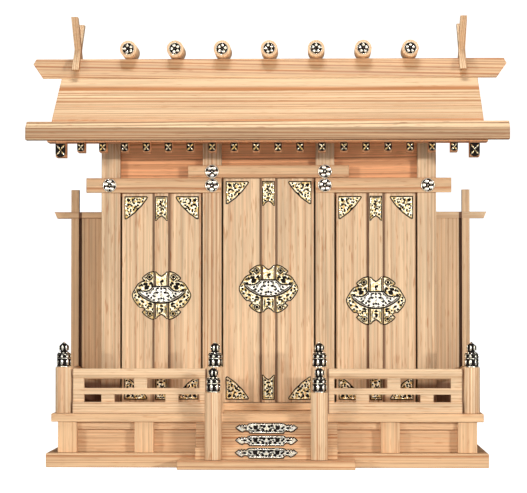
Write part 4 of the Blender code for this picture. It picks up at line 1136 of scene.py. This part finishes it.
def metal(name, bright, tarnish, amount, roughness, metallic, gloss=0.5):
    """A metal that is bright with tarnished patches."""
    _, tree, shader, place = new_material(name)
    worn = add(tree, "ShaderNodeGroup", node_tree=bpy.data.node_groups["Stamped metal"])
    values = {"Vector": place, "Bright": (*bright, 1), "Tarnish": (*tarnish, 1), "Amount": amount,
              "Roughness": roughness}
    set_inputs(tree, worn, values)
    tree.links.new(worn.outputs["Color"], shader.inputs["Base Color"])
    tree.links.new(worn.outputs["Roughness"], shader.inputs["Roughness"])
    bump = add(tree, "ShaderNodeBump", {
        "Height": worn.outputs["Height"], "Strength": 0.15, "Distance": 0.00005})
    tree.links.new(bump.outputs[0], shader.inputs["Normal"])
    shader.inputs["Metallic"].default_value = metallic
    shader.inputs["Specular IOR Level"].default_value = gloss


class SHRINE_OT_metals(bpy.types.Operator):
    """Makes the gilt of the raised work and the dark of the sunk ground"""

    bl_idname = "shrine.metals"
    bl_label = "Gilt and Sunk Ground"

    def execute(self, context):
        sizes = context.scene.shrine_fittings
        metal_group()
        metal("gilt", sizes.gilt, sizes.tarnish, 1.0, 0.14, 1.0)
        metal("pale gilt", sizes.pale_gilt, sizes.gilt, 0.8, 0.12, 1.0)
        metal("sunk ground", sizes.ground, [v * 0.4 for v in sizes.ground], 0.8, 0.6, 0.0, 0.15)
        return {"FINISHED"}


def shrine_body(node):
    """The body that a node rides on."""
    return frame["nodes"][node].parent.name.removeprefix("body:")


def strip_middle(bay):
    """Middle of a bay's strip and the leaf's face, from the right leaf's box."""
    low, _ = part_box(f"{bay}_door_right")
    return low.x + STRIP_HALF_WIDTH, low.y


class SHRINE_OT_door_plates(bpy.types.Operator):
    """Adds the scrolled corner plates of the leaves and the swallow-tailed plates of the strips"""

    bl_idname = "shrine.door_plates"
    bl_label = "Corner and Strip Plates"

    def execute(self, context):
        raised_tree()
        sizes = context.scene.shrine_fittings
        corner, tail = corner_art(), tail_art()
        for bay in BAYS:
            for side, towards in (("left", 1), ("right", -1)):
                node = f"{bay}_door_{side}"
                low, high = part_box(node)
                ends = (high.z - sizes.end_inset, -1), (low.z + sizes.end_inset, 1)
                face = low.y + (STRIP_THICKNESS if side == "right" else 0.0)
                edge = (low.x if side == "left" else high.x) + towards * sizes.side_inset
                work = bmesh.new()
                for level, upward in ends:
                    stamped(work, corner, on_front(edge, level, face, towards, upward))
                fitting(f"corner_plates_{node}", shrine_body(node), work)
            middle, face = strip_middle(bay)
            work = bmesh.new()
            for level, upward in ends:
                stamped(work, tail, on_front(middle, level, face, 1, upward))
            fitting(f"strip_plates_{bay}", shrine_body(node), work)
        return {"FINISHED"}


class SHRINE_OT_medallions(bpy.types.Operator):
    """Adds each pair's round medallion with its lock bar"""

    bl_idname = "shrine.medallions"
    bl_label = "Medallions and Lock Bars"

    def execute(self, context):
        wing, (upper, lower), bar = wing_art(), blade_art(), bar_art()
        for bay in BAYS:
            middle, face = strip_middle(bay)
            level = MEDALLION_HEIGHTS[bay]
            for side, across in (("left", 1), ("right", -1)):
                work = bmesh.new()
                stamped(work, wing, on_front(middle, level, face + STRIP_THICKNESS, across))
                fitting(f"medallion_{bay}_{side}", shrine_body(f"{bay}_door_{side}"), work)
            strip = shrine_body(f"{bay}_door_right")
            work = bmesh.new()
            for blade in (upper, lower):
                stamped(work, blade, on_front(middle, level, face))
            fitting(f"medallion_{bay}_strip", strip, work)
            work = bmesh.new()
            stamped(work, bar, on_front(middle, level, face - LOCK_BAR_LIFT), thickness=0.8, edge=1.2,
                    rise=0.9)
            fitting(f"lock_bar_{bay}", strip, work, "pale gilt")
        return {"FINISHED"}


class SHRINE_OT_step_plates(bpy.types.Operator):
    """Adds a scrolled plate to each step"""

    bl_idname = "shrine.step_plates"
    bl_label = "Step Plates"

    def execute(self, context):
        low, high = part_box("stair")
        rise = (high.z - low.z) / STEP_COUNT
        art = step_art()
        for step in range(STEP_COUNT):
            work = bmesh.new()
            level = low.z + (step + 0.5) * rise + STEP_PLATE_LIFT
            stamped(work, art, on_front(0, level, low.y + TREAD * step))
            fitting(f"step_plate_{step + 1}", "shrine", work, "pale gilt")
        return {"FINISHED"}


class SHRINE_OT_covers(bpy.types.Operator):
    """Adds the flower covers on the beams and the logs' ends"""

    bl_idname = "shrine.covers"
    bl_label = "Nail Covers and Log Caps"

    def execute(self, context):
        sizes = context.scene.shrine_fittings
        flower_tree()
        low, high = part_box("lower_nageshi_left")
        top_low, top_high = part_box("upper_nageshi")
        lower, upper = (low.z + high.z) / 2, (top_low.z + top_high.z) / 2
        spots = [(side * x, low.y, lower) for side in (-1, 1) for x in NAIL_COVER_X]
        spots += [(side * NAIL_COVER_X[0], low.y, upper) for side in (-1, 1)]
        covers_piece("nail_covers", spots, "shrine", Diameter=sizes.nail_cover)
        ends = [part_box(f"ridge_log_{count}") for count in range(1, LOG_COUNT + 1)]
        front = [((low.x + high.x) / 2, low.y, (low.z + high.z) / 2) for low, high in ends]
        back = [(-x, -high.y, z) for (x, _, z), (_, high) in zip(front, ends)]
        caps = {"Diameter": sizes.log_cap, "Edge Beads": 3, "Seed": 3, "Petal Size": 0.26,
                "Petal Place": 0.56, "Boss": 0.04, "Rim": 0.0002}
        covers_piece("log_caps_front", front, "shrine", **caps)
        covers_piece("log_caps_back", back, "shrine", turned_back=True, **caps)
        return {"FINISHED"}


def cap_art(width, height):
    """A rafter's cap with a round foot and a four-petalled flower; the origin is its middle."""
    half, top = width / 2, height / 2
    side = [(half * 0.3, -top), (half * 0.78, -top * 0.88), (half, -top * 0.55), (half, top)]
    outline = [*[(-u, v) for u, v in reversed(side)], *side, (0, top)]
    petals = [leaf((u * half * 0.16, v * top * 0.16), (u * half * 0.84, v * top * 0.80), 0.85)
              for u in (-1, 1) for v in (-1, 1)]
    cuts = [[(-half * 0.8, top * 0.9, 0.3), (half * 0.8, top * 0.9, 0.3)]]
    return {"outline": outline, "cuts": cuts, "strokes": petals, "beads": [(0, 0, 0.7)], "dark": True}


def set_out_tree():
    """Sets copies of a two-metal piece on points."""
    tree, take, made = new_group("Set out copies", "GeometryNodeTree", {
        "Geometry": "Geometry", "Piece": "Object", "Gilt": "Material", "Sunk Ground": "Material"}, SHAPE)
    sunk = maths(tree, "GREATER_THAN", out(tree, "GeometryNodeInputMaterialIndex"), 0.5)
    pieces = copies(tree, take["Geometry"], marked(tree, shape_of(tree, take["Piece"]), sunk))
    set_inputs(tree, made, {0: in_two_metals(tree, pieces, take)})


class SHRINE_OT_rafter_caps(bpy.types.Operator):
    """Adds a stamped cap to the end of each front rafter"""

    bl_idname = "shrine.rafter_caps"
    bl_label = "Rafter Caps"

    def execute(self, context):
        set_out_tree()
        low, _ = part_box("rafters_front")
        face = low.y + RAFTER_SETBACK
        small = [((count - (RAFTER_COUNT - 1) / 2) * RAFTER_SPACING, face, RAFTER_CAP_LEVEL)
                 for count in range(RAFTER_COUNT)]
        large = [(side * END_RAFTER_X, face, low.z + END_CAP_LEVEL) for side in (-1, 1)]
        for name, width, height, spots in (("rafter_caps", 7.0, 8.4, small),
                                           ("end_rafter_caps", 9.8, 13.6, large)):
            work = bmesh.new()
            stamped(work, cap_art(width, height), on_front(0, 0, 0), thickness=0.4)
            cap = mesh_object("one cap", plain_mesh(name, work), *metals())
            made = on_spots(name, spots, "Set out copies", "gilt", Piece=cap)
            bpy.data.objects.remove(cap)
            place(mesh_object(name, made), "shrine", "gilt_brass")
        return {"FINISHED"}


def petals_tree():
    """Rows of petals round an upright axis."""
    tree, take, made = new_group("Petals round a post", "GeometryNodeTree", {
        "Petals": 8, "Radius": 0.007, "Height": 0.005, "Petal Width": 0.0022, "Petal Length": 0.003,
        "Petal Rise": 0.0006, "Lean": 0.0, "Gilt": "Material"}, SHAPE)
    circle = out(tree, "GeometryNodeMeshCircle", {"Vertices": take["Petals"], "Radius": take["Radius"]})
    spin = maths(tree, "DIVIDE", math.tau, take["Petals"])
    around = rotation(tree, 0.0, 0.0, times(tree, out(tree, "GeometryNodeInputIndex"), spin))
    aim = turned_by(tree, around, rotation(tree, 0.0, take["Lean"], 0.0))
    size = vector(tree, take["Petal Rise"], take["Petal Width"], take["Petal Length"])
    petals = copies(tree, circle, ball(tree, 12, 8), Rotation=aim, Scale=size)
    petals = moved(tree, petals, Translation=vector(tree, 0.0, 0.0, take["Height"]))
    set_inputs(tree, made, {0: painted(tree, soft(tree, realized(tree, petals)), take["Gilt"])})
    return tree


# A finial's profile from its foot up: radius and height in millimetres, and 1 below a band of sunk ground
FINIAL = [
    (0, 0, 0), (7.3, 0, 0), (7.5, 0.2, 0), (7.5, 0.6, 0), (7.3, 0.9, 1), (7.1, 1.3, 1), (7.1, 8.2, 1),
    (7.3, 8.5, 0), (7.3, 8.9, 0), (7.1, 9.2, 1), (7.1, 12.4, 1), (7.3, 12.7, 0), (7.1, 13.1, 1),
    (6.5, 13.9, 1), (5.1, 14.6, 1), (4.0, 15.5, 1), (3.5, 16.3, 1), (3.5, 16.8, 1), (4.3, 17.5, 1),
    (5.0, 18.6, 1), (5.15, 19.8, 1), (4.9, 21.0, 1), (4.2, 22.2, 1), (3.0, 23.4, 1), (1.8, 24.4, 0),
    (0.9, 25.3, 0), (0.4, 25.9, 0), (0, 26.15, 0),
]
PETAL_KEYS = ("Petals", "Radius", "Height", "Petal Width", "Petal Length", "Petal Rise", "Lean")
PETAL_ROWS = (
    (7, 0.0069, 0.0049, 0.0015, 0.0034, 0.0008, 0.0),
    (7, 0.0069, 0.0108, 0.0015, 0.0017, 0.0008, 0.0),
    (8, 0.0053, 0.01435, 0.0015, 0.0015, 0.0006, -0.95),
    (7, 0.00485, 0.0195, 0.0011, 0.0029, 0.0005, 0.0),
)


class SHRINE_OT_finials(bpy.types.Operator):
    """Turns the onion-topped caps of the posts and adds their rows of petals"""

    bl_idname = "shrine.finials"
    bl_label = "Post Finials"

    def execute(self, context):
        tree = petals_tree()
        work = bmesh.new()
        profile = [(radius / 1000, height / 1000, sunk) for radius, height, sunk in FINIAL]
        work.from_mesh(turned_mesh("finial body", profile, Vector(), UPRIGHT, sides=48))
        host = mesh_object("petal host", bpy.data.meshes.new("petal host"))
        for row in PETAL_ROWS:
            values = {**dict(zip(PETAL_KEYS, row)), "Gilt": bpy.data.materials["gilt"]}
            work.from_mesh(evaluated_mesh(host, tree, values))
        bpy.data.objects.remove(host)
        whole = plain_mesh("finial", work)
        for kind in POSTS:
            for side in SIDES:
                node = f"{kind}_{side}_finial"
                low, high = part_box(node)
                mesh = whole.copy()
                mesh.name = f"stamped_{node}"
                mesh.transform(Matrix.Translation(((low.x + high.x) / 2, (low.y + high.y) / 2, low.z)))
                place(mesh_object(mesh.name, mesh, *metals("pale gilt")), "shrine", "gilt_brass", node)
        return {"FINISHED"}


class SHRINE_OT_stage(bpy.types.Operator):
    """Sets the pale floor and backdrop, the soft lights and the camera"""

    bl_idname = "shrine.stage"
    bl_label = "Stage"

    def execute(self, context):
        scene = context.scene
        stage = scene.shrine_stage
        scene.view_settings.view_transform = "Standard"
        scene.view_settings.look = "None"
        work = bmesh.new()
        path = [(PAPER_FRONT, 0.0), (PAPER_FLOOR, 0.0)]
        for angle in range(10, 91, 10):
            turned = math.radians(angle)
            path.append((PAPER_FLOOR + PAPER_BEND * math.sin(turned),
                         PAPER_BEND - PAPER_BEND * math.cos(turned)))
        path.append((PAPER_FLOOR + PAPER_BEND, PAPER_TOP))
        lines = [[work.verts.new((x, y, z - PAPER_DROP)) for y, z in path]
                 for x in (-PAPER_HALF_WIDTH, PAPER_HALF_WIDTH)]
        for step in range(len(path) - 1):
            work.faces.new((lines[0][step], lines[1][step], lines[1][step + 1],
                            lines[0][step + 1])).smooth = True
        sweep = plain_mesh("sweep", work)
        paper, tree, shader, _ = new_material("white paper")
        shader.inputs["Roughness"].default_value = 1.0
        shader.inputs["Specular IOR Level"].default_value = 0.0
        glow = out(tree, "ShaderNodeEmission", {"Color": (1, 1, 1, 1), "Strength": 1.0})
        lit = out(tree, "ShaderNodeAddShader", {0: shader.outputs[0], 1: glow})
        rays = add(tree, "ShaderNodeLightPath").outputs
        mirrored = minus(tree, 0.55, times(tree, rays["Is Glossy Ray"], 0.15))
        tree.links.new(mirrored, shader.inputs["Base Color"])
        paint = out(tree, "ShaderNodeMixShader", {0: rays["Is Camera Ray"], 1: shader.outputs[0], 2: lit})
        tree.links.new(paint, tree.nodes["Material Output"].inputs["Surface"])
        mesh_object("paper_sweep", sweep, paper)
        for name, size, spot, aim in LAMPS:
            light = bpy.data.lights.new(name, "AREA")
            light.shape = "RECTANGLE"
            light.energy = getattr(stage, f"{name}_power")
            light.size, light.size_y = size
            lamp = bpy.data.objects.new(name, light)
            lamp.location = spot
            lamp.rotation_euler = (Vector(aim) - Vector(spot)).to_track_quat("-Z", "Y").to_euler()
            scene.collection.objects.link(lamp)
        world = bpy.data.worlds.new("studio")
        scene.world = world
        world.use_nodes = True
        tree = world.node_tree
        sky = tree.nodes["Background"]
        sky.inputs["Color"].default_value = (1, 1, 1, 1)
        rays = add(tree, "ShaderNodeLightPath").outputs
        strength = minus(tree, 0.20, times(tree, rays["Is Glossy Ray"], 0.16))
        strength = maths(tree, "MAXIMUM", strength, rays["Is Camera Ray"])
        tree.links.new(strength, sky.inputs["Strength"])
        lens = bpy.data.cameras.new("camera")
        lens.lens, lens.sensor_width = stage.lens, 36.0
        lens.shift_x, lens.shift_y = CAMERA_SHIFT
        lens.clip_start, lens.clip_end = 0.05, 20.0
        camera = bpy.data.objects.new("camera", lens)
        camera.location = CAMERA_PLACE
        camera.rotation_euler = (math.radians(CAMERA_TILT), 0.0, math.radians(CAMERA_TURN))
        scene.collection.objects.link(camera)
        scene.camera = camera
        return {"FINISHED"}


class SHRINE_PT_panel(bpy.types.Panel):
    """Sizes, colours and steps of the shrine shelf"""

    bl_label = "Shrine Shelf"
    bl_idname = "SHRINE_PT_panel"
    bl_space_type = "VIEW_3D"
    bl_region_type = "UI"
    bl_category = "Shrine"

    def draw(self, context):
        for group in (context.scene.shrine_wood, context.scene.shrine_fittings, context.scene.shrine_stage):
            box = self.layout.box()
            for name in group.bl_rna.properties.keys():
                if name not in ("rna_type", "name"):
                    box.prop(group, name)
        for operator in STEPS:
            self.layout.operator(operator.bl_idname)


STEPS = (SHRINE_OT_woods, SHRINE_OT_turned, SHRINE_OT_metals, SHRINE_OT_door_plates, SHRINE_OT_medallions,
         SHRINE_OT_step_plates, SHRINE_OT_covers, SHRINE_OT_rafter_caps, SHRINE_OT_finials, SHRINE_OT_stage)
GROUPS = (ShrineWood, ShrineFittings, ShrineStage)


def register():
    for kind in (*GROUPS, *STEPS, SHRINE_PT_panel):
        bpy.utils.register_class(kind)
    bpy.types.Scene.shrine_wood = PointerProperty(type=ShrineWood)
    bpy.types.Scene.shrine_fittings = PointerProperty(type=ShrineFittings)
    bpy.types.Scene.shrine_stage = PointerProperty(type=ShrineStage)


def unregister():
    del bpy.types.Scene.shrine_stage
    del bpy.types.Scene.shrine_fittings
    del bpy.types.Scene.shrine_wood
    for kind in reversed((*GROUPS, *STEPS, SHRINE_PT_panel)):
        bpy.utils.unregister_class(kind)


def main():
    """Runs every step on the loaded frame."""
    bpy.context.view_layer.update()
    register()
    bpy.ops.shrine.woods()
    bpy.ops.shrine.turned()
    bpy.ops.shrine.metals()
    bpy.ops.shrine.door_plates()
    bpy.ops.shrine.medallions()
    bpy.ops.shrine.step_plates()
    bpy.ops.shrine.covers()
    bpy.ops.shrine.rafter_caps()
    bpy.ops.shrine.finials()
    bpy.ops.shrine.stage()


if __name__ == "__main__":
    main()
